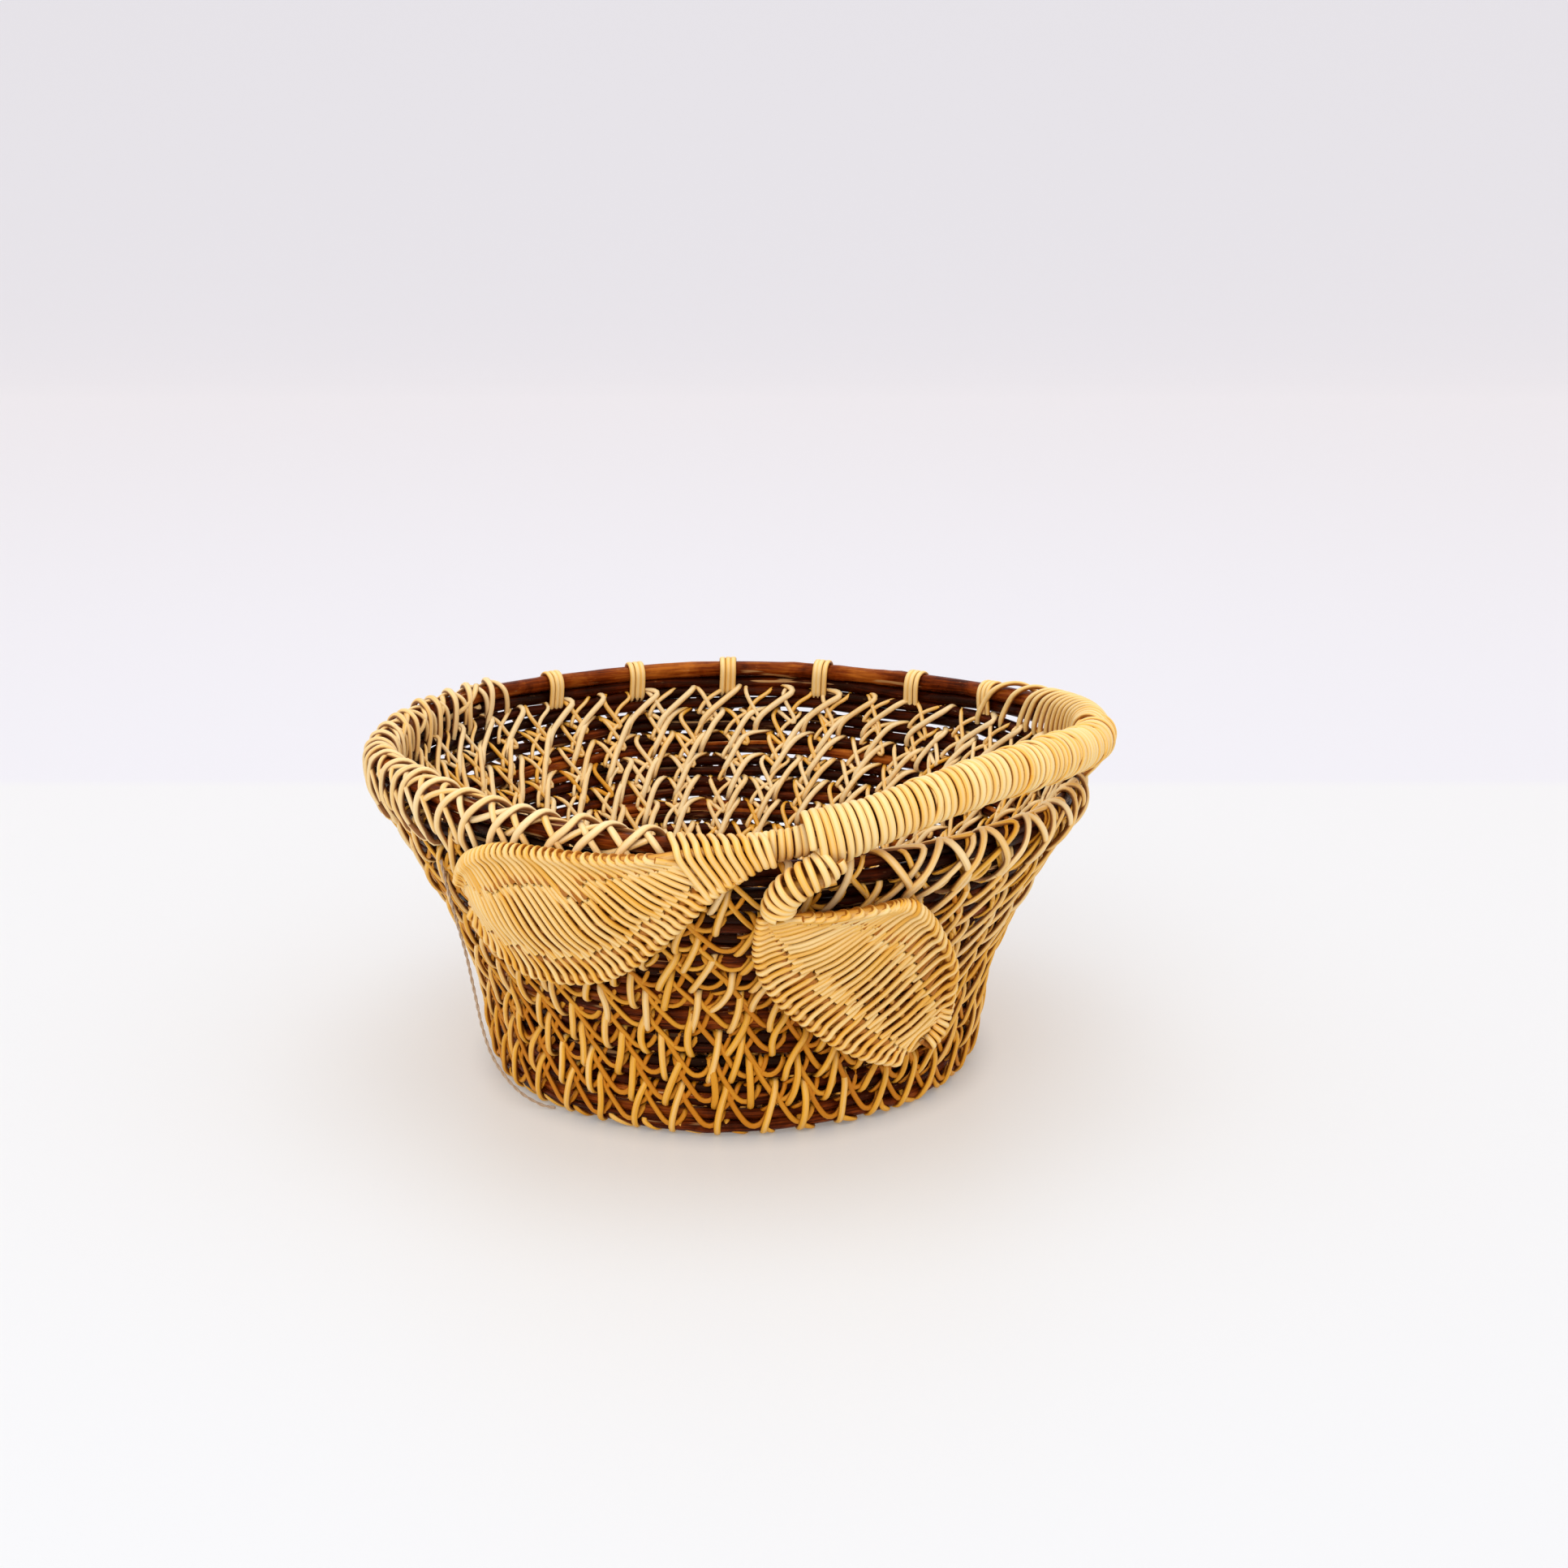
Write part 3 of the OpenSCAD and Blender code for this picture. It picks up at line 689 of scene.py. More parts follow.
def wall_stitches(k):
    """Laces coil k to the one above: stout bars over both, garlands under them and short links beneath."""
    rng, strands = begin(400 + k)
    low, high = ROD_S[k - 1][0], ROD_S[k][1]
    middle = (low + high) / 2
    gap = (ROD_S[k - 1][1] + ROD_S[k][0]) / 2
    warm = float(np.clip(0.85 - 0.075 * k, 0.0, 0.8))
    shift = PITCH * (0.5 * (k % 2) + 0.31 * k)
    starts = shift - PITCH * np.arange(STITCHES + 1) + rng.normal(0, 1.0, STITCHES + 1)
    hook = 0.35 if k == COILS - 1 else 0.0
    tones = 0.50 + 0.18 * waves(rng, STITCHES + 1, STITCHES, 6) + rng.normal(0, 0.06, STITCHES + 1)

    def near(size):
        return rng.normal(0, size)

    def lay(stitches, core, section, painted_layer_shade, stray, depth, wear):
        """Laces canes of two stitches each, with the knots of each stitch in stitches."""
        knots = [knot for stitch in stitches for knot in stitch]
        for part, tone in zip(lengths(knots, 2 * len(stitches[0])), tones[:STITCHES:2]):
            wide = section[0] + near(0.08)
            # Deeper layers get a larger tone offset, which makes them more amber: painted shade.
            tone = tone + painted_layer_shade + (near(stray) if stray else 0.0)
            lace(strands, part, core, high, (wide, section[1]), (tone, depth, wear))

    def bar(a):
        lean = PITCH * (slant(a, k) + near(0.13)) / 2
        proud = 3.8 + abs(near(0.5))
        bow = near(0.5)
        return [
            (a + lean * 1.15, high + 3.1 + near(0.2), 0.2), (a + lean, high + 1.1, 3.0),
            (a + lean * 0.45 + bow, middle + 3.6, proud), (a - lean * 0.45 + bow, middle - 3.8, proud),
            (a - lean, low - 0.9, 3.0), (a - lean * 1.1, low - 3.0 + near(0.2), 0.1),
            (a - lean * 1.2, low - 0.8, -3.0), (a - lean - PITCH * 0.16, middle - 3.5, -3.75 + near(0.25)),
            (a - lean - PITCH * (0.37 + hook * 0.6), middle + 3.5, -3.8 + near(0.25)),
            (a - lean - PITCH * (0.58 + hook * 0.8), high + 1.0, -3.0)]

    def garland(a):
        dip = near(0.5)
        return leaning(
            a, PITCH, (0.04, high + 2.8, 0.0), (0.10, high + 0.7, 2.8), (0.22, middle + 3.6, 2.9),
            (0.42, middle - 1.6 + dip, 2.75), (0.68, low + 0.6 + dip * 0.4, 2.7), (0.96, low + 1.4, 2.55),
            (1.14, gap - 1.3, 1.7), (1.06, gap - 1.3, -2.0), (0.72, low + 0.6, -3.0), (0.66, low + 1.8, -3.2),
            (0.86, middle + 1, -3.2), (1.00, high - 0.6, -2.9))

    def link(a):
        return leaning(
            a, 1, (PITCH * 0.42, high + 2.4, 0.0), (PITCH * 0.36, high, 2.5),
            (PITCH * 0.14 + near(0.4), gap + 2.4, 2.8), (-PITCH * 0.14 + near(0.4), gap - 1.2, 1.6),
            (-PITCH * 0.10, gap - 1.2, -1.8), (PITCH * 0.02, gap - 3.4, -3.0),
            (-PITCH * 0.16, gap + 2.6, -3.1), (-PITCH * 0.46, high - 0.4, -2.8))

    # Garlands and links lie under the bars, and their larger tone and depth offsets make them more amber:
    # painted shade. warm makes the lower coils more amber as well.
    lay([bar(a) for a in starts], low, BAR, -0.1, 0.0, warm * 0.5, 0.35)
    lay([garland(a) for a in starts[::-1]], low, GARLAND, 0.15, 0.15, warm * 0.9 + 0.28, 0.6)
    lay([link(a) for a in starts], gap, LINK, 0.2, 0.1, warm + 0.32, 0.6)
    if k == COILS - 1:
        shoulder_loops(strands, rng, low, high)
    strands.build(f"lacing_{k:02d}", CANE, "cane", f"wall_lashing_{k:02d}")


def base_stitches():
    """Laces the base coils to each other and to the foot of the wall, flat against the table underneath."""
    rng, strands = begin(500)
    outer = [FOOT_RADIUS] + [cad_box(f"base_coil_{k:02d}")[1][0] - ROD_R for k in range(1, BASE_COILS + 1)]
    height = cad_box("base_coil_01")[0][2] + ROD_R
    for k in range(BASE_COILS):
        count = STITCHES if k < 4 else STITCHES // 2 if k < 6 else STITCHES // 4
        far, near = outer[k], outer[k + 1] - BASE_ROD_GAP
        for i in range(count):
            a = 360 * (i + (k % 2) / 2) / count + rng.normal(0, 1.0)
            lean = math.degrees(1.6 / far) * rng.uniform(0.6, 1.4)
            knots = leaning(
                a, lean, (-1, far + 3.0, 0.0), (-1, far + 1.0, 2.7), (0, (far + near) / 2, 3.1),
                (1, near - 1.0, 2.7), (1, near - 3.0, 0.0), (2, near - 1.0, -2.7),
                (2.5, (far + near) / 2, -2.9), (2, far + 1.0, -2.7))
            angle, radius, off = smooth(knots, 5, closed=True).T
            path = round_axis(angle, radius, np.maximum(height + off, 0.82))
            away = round_axis(angle, 1.0, 0.0) * (radius - np.clip(radius, near, far))[:, None]
            away = unit(away + UP * (off + 1e-3)[:, None])
            strands.add(path, away, BASE_CANE, (rng.uniform(0.3, 0.8), 0.4, 0.4), closed=True)
    strands.build("base_lacing", CANE, "cane", "base_lashing")


def centre_knot():
    """The wound start of the base: flat turns of cane, in three layers."""
    rng, strands = begin(510)
    top = cad_box("base_centre_knot")[1][2]
    turns, n = 2.4, 90
    for layer, height in enumerate((1.0, top / 2 + 0.3, top - 1.0)):
        angle = 360 * turns * np.arange(n) / (n - 1) + 70 * layer
        path = round_axis(angle, np.linspace(0.9, 4.9, n), height + 0.15 * waves(rng, n, 60, 20))
        strands.add(path, UP, KNOT_CANE, (0.5, 0.5, 0.4), 10)
    strands.build("base_centre_knot_cane", CANE, "cane", "base_centre_knot")


# -------- rim loops, bands and ties

def rim_wrap(strands, knots, section, tint):
    """A strand round the rim's rods. knots are (angle, up, off) from the middle of the stout one."""
    line = smooth(knots, 6)
    middle, outward, upward = rim_frame(line[:, 0])
    path = middle + upward * line[:, 1:2] + outward * line[:, 2:3]
    away = away_from_core(line[:, 1], line[:, 2], -9, 0)
    path, away = resample(path, upward * away[:, :1] + outward * away[:, 1:], step=1.3)
    strands.add(path, unit(away), section, tint)


def rim_arch(rng, a):
    """A tall arch of cane over the rim rod."""
    wide = rng.uniform(0.8, 1.25)
    return [(a - 2.6 * wide, -14.5, 2.2), (a - 2.9 * wide, -9, 4.8), (a - 2.0 * wide, -2.0, 5.6),
            (a - 0.2, 3.6, 4.7), (a + 1.2, 5.7 + abs(rng.normal(0, 0.5)), 0.2), (a + 2.4 * wide, 3.2, -4.2),
            (a + 3.3 * wide, -3, -5.5), (a + 3.6, -10, -5.0), (a + 3.8, -16, -3.4), (a + 3.9, -18, 0.0)]


def rim_crossing(a):
    """A flatter turn of cane that leans the other way across the arches."""
    return leaning(
        a, 1, (3.4, -11.5, 3.2), (2.6, -5.5, 4.7), (0.9, 0.5, 4.9), (-0.7, 3.9, 2.6), (-1.8, 4.4, -0.6),
        (-2.6, 1.5, -4.2), (-3.0, -4, -4.7), (-3.2, -9.5, -3.2), (-3.3, -12, 0.0))


def rim_loops():
    """On the left, arches over the rim rod, canes that cross them, and three canes wound along it."""
    rng, strands = begin(600)
    first, last, every = 141.0, 263.0, 5.1
    count = int((last - first) / every) + 1
    arches = [knot for i in range(count) for knot in rim_arch(rng, first + i * every + rng.normal(0, 0.6))]
    for part in lengths(arches, 30):
        rim_wrap(strands, part, ARCH, (rng.uniform(0.0, 0.2), 0.0, 0.25))
    crossings = [knot for i in range(count)
                 for knot in rim_crossing(last - i * every - 2.5 + rng.normal(0, 0.6))]
    for part in lengths(crossings, 27):
        rim_wrap(strands, part, CROSSING, (rng.uniform(0.05, 0.4), 0.0, 0.3))
    angle = np.arange(first + 4, last - 3, 1.4)
    n = len(angle)
    for phase in (0.0, 2.1, 4.2):
        turn = np.radians(angle * 14) + phase + 0.5 * waves(rng, n, n, 12)
        reach = 4.6 + 0.6 * waves(rng, n, n, 10, 2)
        knots = np.stack([angle, reach * np.sin(turn), reach * np.cos(turn)], axis=1)
        rim_wrap(strands, knots, WOUND, (rng.uniform(0.1, 0.5), 0.0, 0.3))
    strands.build("rim_loops", CANE, "cane", "rim_lashing")


def rim_bands():
    """Along the back, bands of three canes side by side over the bare rim rod."""
    rng, strands = begin(620)
    lean, low, reach = 0.25, -12.5, 4.3
    rows = ((-1, low + 2, reach * 0.8), (-0.5, low / 2, reach), (0, -0.5, reach + 0.5),
            (0, 3.2, reach * 0.72), (0.2, 4.3, 0), (0.4, 3.0, -reach * 0.72), (0.5, -0.5, -reach - 0.3),
            (1, low / 2, -reach), (1.3, low + 2, -reach * 0.8), (1.1, low, 0), (-1, low, 0.4))
    for angle in (127, 110, 92, 74, 55, 38):
        tone = rng.uniform(0.0, 0.25)
        for side in (-1, 0, 1):
            knots = leaning(angle + side * 1.04 + rng.normal(0, 0.05), lean, *rows)
            rim_wrap(strands, knots, BAND, (tone + rng.normal(0, 0.05), 0.0, 0.2))
    strands.build("rim_bands_cane", WRAP_CANE, "cane", "rim_bands")


def handle_ties():
    """The slanting wraps where the handle comes down, close together at its end and then further apart."""
    rng, strands = begin(640)
    starts = [-14.5 + 2.35 * i for i in range(14)] + [21.5, 27.5]
    for i, start in enumerate(starts):
        a = start + rng.normal(0, 0.12)
        reach = max(6.7 - 0.11 * i, 5.1)
        sweep = 0.95 + 0.03 * i
        knots = leaning(a, 1, (-3.4, -14, 1.0), (-3.2, -9.5, 4.8), (-2.0, -4.5, reach),
                        (-0.2, 1.2, reach * 0.9))
        knots += leaning(a, sweep, (1.6, 4.9, reach * 0.35), (3.6, 5.0, -reach * 0.3),
                         (5.6, 1.8, -reach * 0.85), (7.2, -4.0, -reach), (8.2, -10, -5.6),
                         (8.6, -15, -3.6), (8.5, -17, -0.3))
        rim_wrap(strands, knots, (3.2 - 0.03 * i, 2.0), (rng.uniform(0.0, 0.25), 0.0, 0.15))
    strands.build("handle_ties_cane", WRAP_CANE, "cane", "handle_ties")


# -------- handle

# The angles between which the handle's cane is wound, round the bundle and round the bare rim rod.
THICK = (-78.3, -7.5)
THIN = (-86.5, -76.5)
RIDDEN_UP = (-63, -54, -46, -41.5, -36, -32, -27, -23, -18.5, -15, -11)


def handle_fillers():
    """The two rods that thicken the handle beside the rim rod."""
    rng, strands = begin(700)
    for up in (-2.8, 2.8):
        path, outward, _ = bundle_frame(np.linspace(-77.5, -8, 80), 5.3, up)
        relief = rough(rng, len(path), 12, 0.02, 0.02)
        strands.rod(path, outward, 2.55, (0.4, 0.5, 0.5), relief=relief, taper=4)
    strands.build("handle_filler_bark_rods", BARK, "bark_rod", "handle_filler_rods")


def coil_round(rng, strands, place, span, radius, pitch, section, wear, swell=np.ones_like, tone=0.22):
    """A long cane wound round a line. place(x) gives the line's frame at x, in millimetres along it."""
    turns = (span[1] - span[0]) / pitch
    n = int(turns * 40)
    phase = np.linspace(0, 2 * np.pi * turns, n)
    x = np.linspace(*span, n)
    slip = 0.14 * waves(rng, n, turns, 1.4, 3)
    middle, outward, upward = place(x + slip)
    bulge = radius * (1 + 0.022 * waves(rng, n, turns, 2.5, 2))
    away = turned(outward, upward, phase)
    path = middle + away * bulge[:, None] * swell(x)[:, None]
    tone = tone + 0.16 * waves(rng, n, turns, 4)
    worn = np.clip(wear + 0.5 * waves(rng, n, turns, 9), 0, 1)
    across = section[0] * (1 + 0.05 * waves(rng, n, turns, 1.2, 3))
    strands.add(path, away, (across, section[1]), shades(tone, 0.0, worn), 10)


def handle_wrapping():
    """The cane wound round the handle, thin and then thick, with turns that have ridden up over others."""
    rng, strands = begin(720)
    per_degree = math.radians(1) * HANDLE_RADIUS

    def thick(x):
        return bundle_frame(x / per_degree, 3.0)

    def thin(x):
        return rim_frame(x / per_degree, 0.6)

    def over_neck(x):
        """Wider over the first turns, which also bind the right leaf's stem, and narrower past the middle."""
        binding = 0.26 * np.exp(-((x - THICK[0] * per_degree - 3) / 13) ** 2)
        return 1 + binding - 0.09 * np.clip((x / per_degree + 32) / 14, 0, 1)

    def extra_turn(angle, tilt, radius):
        """One turn that has ridden up over its neighbours."""
        turn = np.linspace(0, 2 * np.pi, 44, endpoint=False)
        middle, outward, upward = bundle_frame(angle + tilt * np.sin(turn + 1.0), 3.0)
        away = turned(outward, upward, turn)
        tint = (rng.uniform(0.1, 0.6), 0.0, rng.uniform(0.2, 1.0))
        strands.add(middle + away * radius, away, EXTRA_WRAP, tint, 10, closed=True)

    coil_round(rng, strands, thick, np.array(THICK) * per_degree, 7.2, 2.72, THICK_WRAP, 0.35, over_neck)
    coil_round(rng, strands, thin, np.array(THIN) * per_degree, 4.35, 2.6, THIN_WRAP, 0.2)
    for angle in RIDDEN_UP:
        extra_turn(angle + rng.uniform(-1, 1), rng.uniform(0.5, 1.6),
                   7.5 + rng.uniform(0, 0.4) - 0.5 * (angle > -28))
    strands.build("handle_wrapping_cane", WRAP_CANE, "cane", "handle_wrapping")


# -------- leaves

# Each line runs from stem to tip as (angle, height, distance out from the wall's rods), as in part.scad.
LEFT = {
    "top": [(-86.5, 119.2, 7.6), (-90.5, 118.9, 8.2), (-95, 117.8, 9.4), (-99, 116, 10.3),
            (-104, 114.7, 10.5), (-109, 114.3, 10.5), (-115, 114.1, 10.5), (-121, 112.9, 10.5),
            (-126.2, 108.3, 10.5), (-128.9, 103.5, 10.5), (-130.9, 97, 10.5)],
    "spine": [(-88.5, 114.8, 7.8), (-92, 112.5, 8.8), (-96.5, 107.5, 10), (-101, 100, 11), (-106, 92.5, 11.5),
              (-113, 86, 11.5), (-121, 83, 11.5), (-127, 85, 11), (-129.5, 91, 10.5)],
    "bottom": [(-84.5, 115, 7.4), (-87, 111.5, 8), (-91.3, 105, 9.5), (-95.4, 95, 10), (-99.4, 85.5, 10),
               (-104.9, 74.5, 10), (-111, 67, 10), (-119, 63.3, 10), (-126.6, 64, 10), (-131.3, 72.5, 10),
               (-132.4, 86, 10)]}
RIGHT = {
    "top": [(-81, 96, 13), (-77, 95.4, 15), (-71, 96, 15), (-65, 95.8, 14), (-60.6, 88.7, 13),
            (-55.4, 77, 12), (-47.7, 60, 11), (-43.2, 43, 10), (-43.2, 34.5, 10)],
    "spine": [(-83.5, 93, 12), (-79.5, 88, 13), (-75, 80.5, 13.5), (-70, 72, 13.5), (-65, 63, 13),
              (-60, 53, 12.5), (-55, 43, 11.5), (-51, 35, 10.5)],
    "bottom": [(-84.2, 94.5, 11), (-84.6, 87, 11), (-84.5, 78, 11), (-82.8, 67, 11), (-79, 56, 11),
               (-73.5, 46, 11), (-67.5, 37, 10.5), (-60.5, 29.5, 10), (-53, 24.5, 10)]}
STEM = [(-75.5, 109.5, 12.5), (-79.5, 107, 12), (-82.3, 102.5, 11.5), (-83.2, 99, 11.5)]
# The lines that the stem's and the right leaf's tip's turns of cane are wound along.
NECK = [(-75.4, 115.5, 9.8), (-77.3, 112.2, 11.4), (-79.6, 109.2, 12), (-81.5, 105.2, 12), (-82.5, 101, 11.8),
        (-82.6, 97.2, 11.8)]
RIGHT_TIP = [(-43.4, 43, 10), (-43.7, 37.5, 10.8), (-45.2, 32, 11.2), (-47.4, 28, 10.8)]
# Shares of the way along a leaf's bottom rod, with those along its top rod that a pass joins them to.
LEFT_SHARES = [(0.13, 0.28), (0.38, 0.54), (0.62, 0.72), (1.0, 1.0)]
RIGHT_SHARES = [(0.0, 0.04), (0.24, 0.31), (0.40, 0.37), (0.60, 0.52), (0.80, 0.74), (1.0, 0.97)]


def leaf_rods(side, leaf, seed):
    """A leaf's three peeled rods. Its spine is thinner than the others and lies behind its line."""
    for i, (part, line) in enumerate(leaf.items()):
        rng = np.random.default_rng(seed + i)
        radius, sunk = (SPINE_R, SPINE_SUNK) if part == "spine" else (LEAF_ROD_R, 0.0)
        path, = resample(Curve(off_wall(line)).points, step=1.5)
        away = level(path)
        strands = Strands()
        relief = rough(rng, len(path), 12, 0.02, 0.03)
        strands.rod(path - away * sunk, away, radius, (0.5, 0.3, 0.5), relief=relief, taper=3)
        strands.build(f"{side}_leaf_{part}_peeled_rod", PEELED, "peeled_rod", f"{side}_leaf_{part}_rod")


def leaf_pass(top, foot, spine, cross, front, proud, seams):
    """One pass of a leaf's cane from its top rod to its bottom rod, as (point, direction it faces).

    It lies on the leaf's face if front is 1 and on its back if it is -1, but on the other side where it
    crosses the spine, at cross of the way. seams are where it changes sides, as shares of the way from each
    rod to the spine.
    """
    across = unit(foot - top)
    out = square_to(level(top + foot), across)
    way = out * front
    reach = LEAF_ROD_R + 0.85
    dip = min(3.0 / np.linalg.norm(foot - top), 0.16)
    bend = spine - (top + (foot - top) * cross)

    def at(share):
        """A point on the way from rod to rod, bent to pass through the spine."""
        bent = share / cross if share < cross else (1 - share) / (1 - cross)
        return top + (foot - top) * share + bend * bent

    def panel(seam, share):
        """From a rod to the spine: on the face at first, then under the neighbours that rise to cross it."""
        rows = ((min(dip * 2, seam * 0.4), 1.7, 1), (seam * 0.62, 1, 1), (seam - 0.07, 0.75, 1),
                (seam + 0.07, -0.75, 1), (min(seam + 0.20, 0.93), -1, -1))
        return [(at(share(x)) + way * proud * height, way * face) for x, height, face in rows]

    knots = panel(seams[0], lambda x: cross * x)
    knots += [(spine - out * SPINE_SUNK - way * (SPINE_R + 0.75), -way)]
    knots += panel(seams[1], lambda x: 1 - (1 - cross) * x)[::-1]
    start = (top - across * reach * 0.3 + way * reach * 0.95, way)
    end = (foot + across * reach * 0.3 + way * reach * 0.95, way)
    if front > 0:
        return [start] + knots + [end, (foot + across * reach, across)]
    return [(top - across * reach, -across), start] + knots + [end]


def leaf_weave(strands, leaf, passes, shares, tone, seed):
    """A cane that goes to and fro over a leaf's three rods, over one and under the next."""
    rng = np.random.default_rng(seed)
    top, spine, bottom = (Curve(off_wall(line)) for line in leaf.values())
    foot_shares, top_shares = np.array(shares).T
    seams = 0.43 + 0.06 * np.stack([waves(rng, passes, passes, 16, 2) for _ in range(2)], axis=1)
    knots = []
    for j in range(passes):
        t = foot_shares[0] + (foot_shares[-1] - foot_shares[0]) * (j + 0.5) / passes
        top_at, foot_at = top.at(np.interp(t, foot_shares, top_shares)), bottom.at(t)
        front = 1 if j % 2 == 0 else -1
        proud = 0.65 + rng.normal(0, 0.07)
        swap = np.clip(seams[j] + 0.12 * front + rng.normal(0, 0.06, 2), 0.28, 0.8)
        knots += leaf_pass(top_at, foot_at, *spine.crossing(top_at, foot_at), front, proud, swap)[::front]
    path, away = (smooth(column, 7) for column in zip(*knots))
    path, away = resample(path, away, step=1.1)
    n = len(path)
    length = n * 1.1
    tone = tone + 0.17 * waves(rng, n, length, 45, 2)
    worn = np.clip(0.25 + 0.4 * waves(rng, n, length, 160), 0, 1)
    width = LEAF_CANE[0] * (1 + 0.05 * waves(rng, n, length, 30, 4))
    strands.add(path, unit(away), (width, LEAF_CANE[1]), shades(tone, 0.0, worn), 10)


def hug(centres, radii, origin, way, clear):
    """A path pulled tight round some rods and clear of them, in the directions way from origin."""
    reach = np.stack([np.sum((c - origin) * way, axis=1) + r for c, r in zip(centres, radii)])
    held_by = np.argmax(reach, axis=0)
    rows = np.arange(len(way))
    return np.stack(centres)[held_by, rows] + way * (np.array(radii)[held_by] + clear)[:, None]


def leaf_binding(strands):
    """The turns that bind the left leaf's rods to the rim, which slant more as they go on."""
    rng = np.random.default_rng(803)
    turns = 10
    n = turns * 72
    angle = np.linspace(-83.4, -95.5, n)
    slanting = np.linspace(0.1, 1.0, n)
    origin, outward, upward = rim_frame(angle)
    rods = [rim_frame(angle - 2.4 * slanting)[0]]
    for line, lean in ((LEFT["top"], 0.8), (LEFT["bottom"], -3.2)):
        before = (line[0][0] + 3.5, line[0][1] + 0.3, line[0][2] - 0.6)
        curve = Curve(off_wall([before] + line))
        heading = np.degrees(np.arctan2(curve.points[:, 1], curve.points[:, 0]))
        rods.append(curve.at(np.interp(lean * slanting - angle, -heading, curve.share)))
    way = turned(outward, upward, np.linspace(np.pi, np.pi * (2 * turns + 1), n))
    path = hug(rods, [RIM_ROD_R, LEAF_ROD_R, LEAF_ROD_R], origin, way, 1.0)
    path = path + way * (0.25 * np.abs(waves(rng, n, turns, 1.5, 3)))[:, None]
    tint = shades(0.42 + 0.15 * waves(rng, n, turns, 3), 0.0, 0.3)
    path, way, tint = resample(path, way, tint, step=1.0)
    strands.add(soften(path, 6), unit(soften(way, 6)), BINDING, tint, 10)


def left_leaf_cane():
    """The left leaf's weave, and the turns that bind its rods to the rim."""
    strands = Strands()
    leaf_binding(strands)
    leaf_weave(strands, LEFT, 74, LEFT_SHARES, 0.45, 804)
    strands.build("left_leaf_cane", WRAP_CANE, "cane", "left_leaf_weave")


def round_line(line):
    """A line of places on the wall as frames for coil_round, and its length."""
    curve = Curve(off_wall(line))
    length = length_of(curve.points)

    def place(x):
        t = np.clip(x / length, 0, 1)
        middle = curve.at(t)
        along = unit(curve.at(t + 0.02) - curve.at(t - 0.02))
        out = square_to(level(middle), along)
        return middle, out, np.cross(out, along)

    return place, length


def right_leaf_cane():
    """The right leaf's weave, and the turns round the end of its top rod at the tip."""
    rng, strands = begin(815)
    leaf_weave(strands, RIGHT, 60, RIGHT_SHARES, 0.50, 814)
    place, length = round_line(RIGHT_TIP)
    coil_round(rng, strands, place, (0.0, length), 2.5, 2.6, TIP_WRAP, 0.5, tone=0.5)
    strands.build("right_leaf_cane", WRAP_CANE, "cane", "right_leaf_weave")


def right_stem():
    """The right leaf's stem rod, and the cane wound round it."""
    rng = np.random.default_rng(860)
    rod, wrap = Strands(), Strands()
    path, = resample(Curve(off_wall(STEM)).points)
    rod.rod(path, level(path), STEM_R, (0.5, 0.3, 0.5))
    rod.build("right_leaf_stem_peeled_rod", PEELED, "peeled_rod", "right_leaf_stem_rod")
    place, length = round_line(NECK)
    coil_round(rng, wrap, place, (0.5, length - 0.5), 5.0, 2.7, STEM_WRAP, 0.4)
    wrap.build("right_leaf_stem_cane", WRAP_CANE, "cane", "right_leaf_stem_wrapping")


# -------- loose thread

# The thread's route, as in part.scad: (angle, radius, height).
THREAD_LINE = [(-139, 129, 99), (-140, 126, 90), (-141, 121.5, 76), (-141, 118, 62), (-141, 115.5, 49),
               (-141, 112, 31), (-140, 108.5, 19), (-138, 102.5, 8.5), (-135.5, 96, 2.4), (-133, 92, 0.9)]
THREAD_STEP = 0.8
THREAD_LAY = 7.0


def loose_thread():
    """A thread of two twisted plies that hangs from under the rim to the foot."""
    path, = resample(smooth(round_axis(*np.array(THREAD_LINE, float).T), 14), step=THREAD_STEP)
    along = unit(np.gradient(path, axis=0))
    out = square_to(level(path), along)
    turn = 2 * np.pi * np.arange(len(path)) * THREAD_STEP / THREAD_LAY
    strands = Strands()
    for ply in (0, np.pi):
        away = turned(out, np.cross(along, out), turn + ply)
        strands.rod(path + 0.27 * away, away, 0.33, (0.5, 0.5, 0), 8)
    thread = strands.build("loose_thread_two_ply", THREAD, "thread", "loose_thread")


# -------- stage

def add_camera():
    """In front of the basket, looking down on it by 15 degrees."""
    data = bpy.data.cameras.new("camera")
    data.lens = 50.43
    data.sensor_width = 36
    camera = bpy.data.objects.new("camera", data)
    camera.location = (0.0193, -0.799, 0.3173)
    camera.rotation_euler = (math.radians(75.0), 0, 0)
    bpy.context.scene.collection.objects.link(camera)
    bpy.context.scene.camera = camera


def floor_material():
    """Pale and faintly clouded, and cooler far behind the basket. It glows evenly and warm, painted light
    that lifts it and warms its shade, and glows less under the basket, a painted shadow.
    """
    m = Nodes("floor")
    x, y, _ = m.node("SeparateXYZ", Vector=m.place()).outputs
    # Its own colours are bluish to offset the warm painted glow, so the floor looks neutral where lit and
    # warm in its shade.
    colour = m.mix(m.step(y, 0.375, 0.40), (0.395, 0.456, 0.510, 1), (0.372, 0.426, 0.517, 1))
    cloud = m.noise(m.place(), 2.5, 2)
    colour = m.mix(m.times(cloud, 0.04), colour, (0.34, 0.40, 0.46, 1))
    away = m.math("SQRT", m.plus(m.math("POWER", x, 2.0), m.math("POWER", y, 2.0)))
    # Painted shadow: within about 0.1 m of the basket's axis the floor glows less.
    painted_glow = m.plus(0.4, m.times(m.step(away, 0.080, 0.104), 0.6))
    return m.surface(Base_Color=colour, Emission_Color=(0.455, 0.39, 0.335, 1), Emission_Strength=painted_glow,
                     Roughness=0.45, Specular_IOR_Level=0.25)


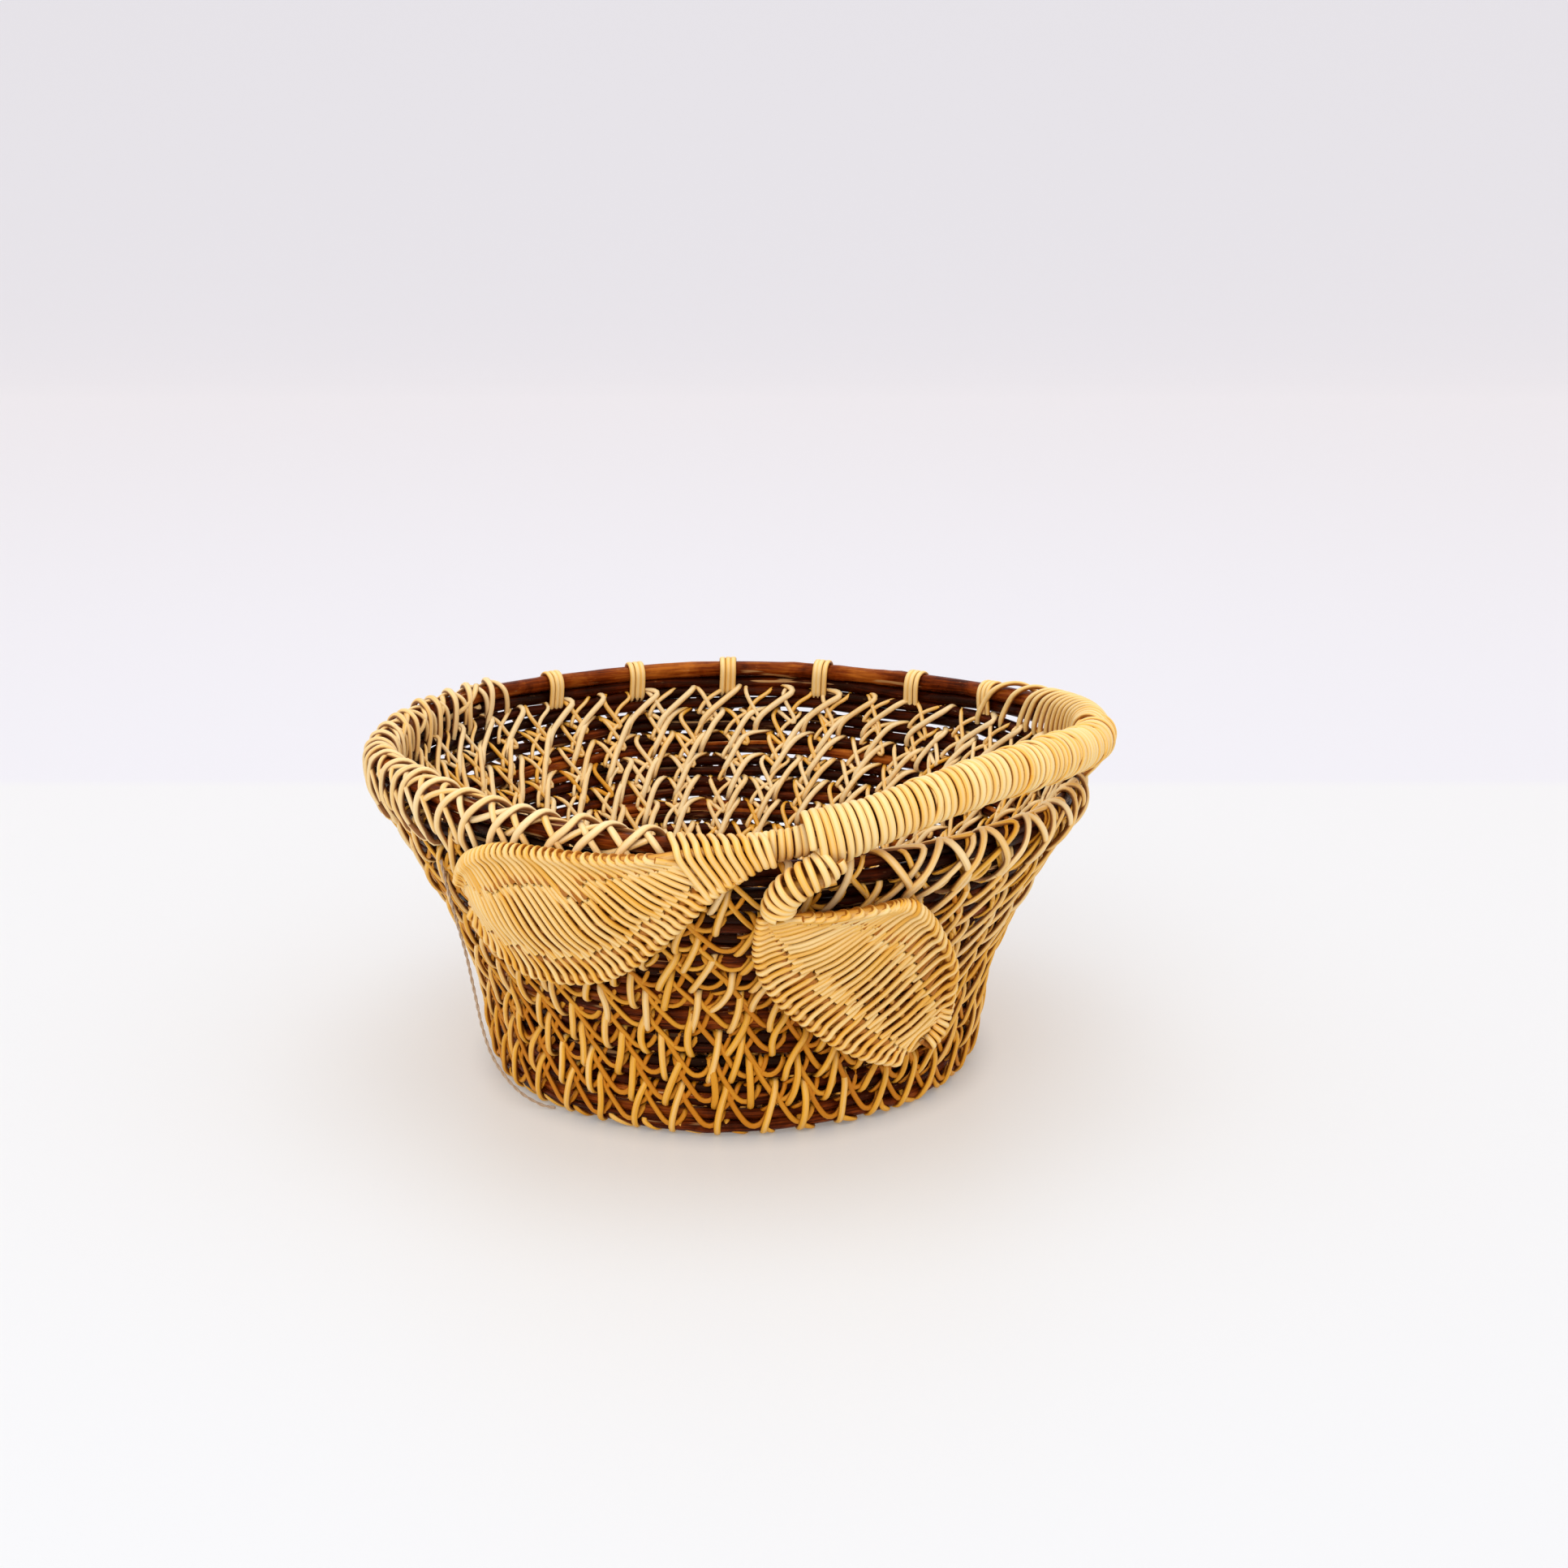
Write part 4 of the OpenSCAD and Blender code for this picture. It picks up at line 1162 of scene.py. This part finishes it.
def add_floor():
    """A wide pale table, and a far wall that it curves up into."""
    reach, back, bend, top = 9.0, 4.0, 1.2, 7.0
    profile = [(-reach, 0.0), (back - bend, 0.0)]
    for step in range(1, 13):
        turn = math.pi / 2 * step / 12
        profile.append((back - bend + bend * math.sin(turn), bend - bend * math.cos(turn)))
    profile.append((back, top))
    points = [(x, y, z) for y, z in profile for x in (-reach, reach)]
    faces = [(2 * i, 2 * i + 1, 2 * i + 3, 2 * i + 2) for i in range(len(profile) - 1)]
    mesh = bpy.data.meshes.new("floor")
    mesh.from_pydata(points, [], faces)
    mesh.polygons.foreach_set("use_smooth", [True] * len(faces))
    mesh.materials.append(floor_material())
    floor = bpy.data.objects.new("floor", mesh)
    bpy.context.scene.collection.objects.link(floor)


def add_light(name, place, target, size, power):
    """A round soft light at place that points at target."""
    data = bpy.data.lights.new(name, "AREA")
    data.shape = "DISK"
    data.size = size
    data.energy = power
    light = bpy.data.objects.new(name, data)
    light.location = place
    x, y, z = np.array(target, float) - np.array(place, float)
    light.rotation_euler = (math.atan2(math.hypot(x, y), -z), 0, math.atan2(y, x) - math.pi / 2)
    bpy.context.scene.collection.objects.link(light)


def add_lights():
    """An even pale surrounding, one light above and one in front."""
    world = bpy.data.worlds.new("studio")
    world.use_nodes = True
    world.node_tree.nodes["Background"].inputs[0].default_value = (1.0, 0.985, 1.0, 1)
    world.node_tree.nodes["Background"].inputs[1].default_value = 0.95
    bpy.context.scene.world = world
    add_light("top", (0.0, 0.1, 1.9), (0, 0.0, 0.0), 1.4, 7)
    add_light("front", (-0.3, -1.5, 1.3), (0, 0, 0.06), 1.2, 8)


# -------- the basket

bpy.context.scene.view_settings.view_transform = "Standard"
bpy.context.scene.view_settings.gamma = 0.88
add_camera()
loose_thread()
add_floor()
add_lights()
for coil in range(1, COILS + 1):
    wall_rods(coil)
for coil in range(1, COILS):
    wall_stitches(coil)
for coil in range(1, BASE_COILS + 1):
    base_rods(coil)
base_stitches()
centre_knot()
rim_rods()
rim_loops()
rim_bands()
handle_fillers()
handle_wrapping()
handle_ties()
leaf_rods("left", LEFT, 801)
left_leaf_cane()
right_stem()
leaf_rods("right", RIGHT, 811)
right_leaf_cane()
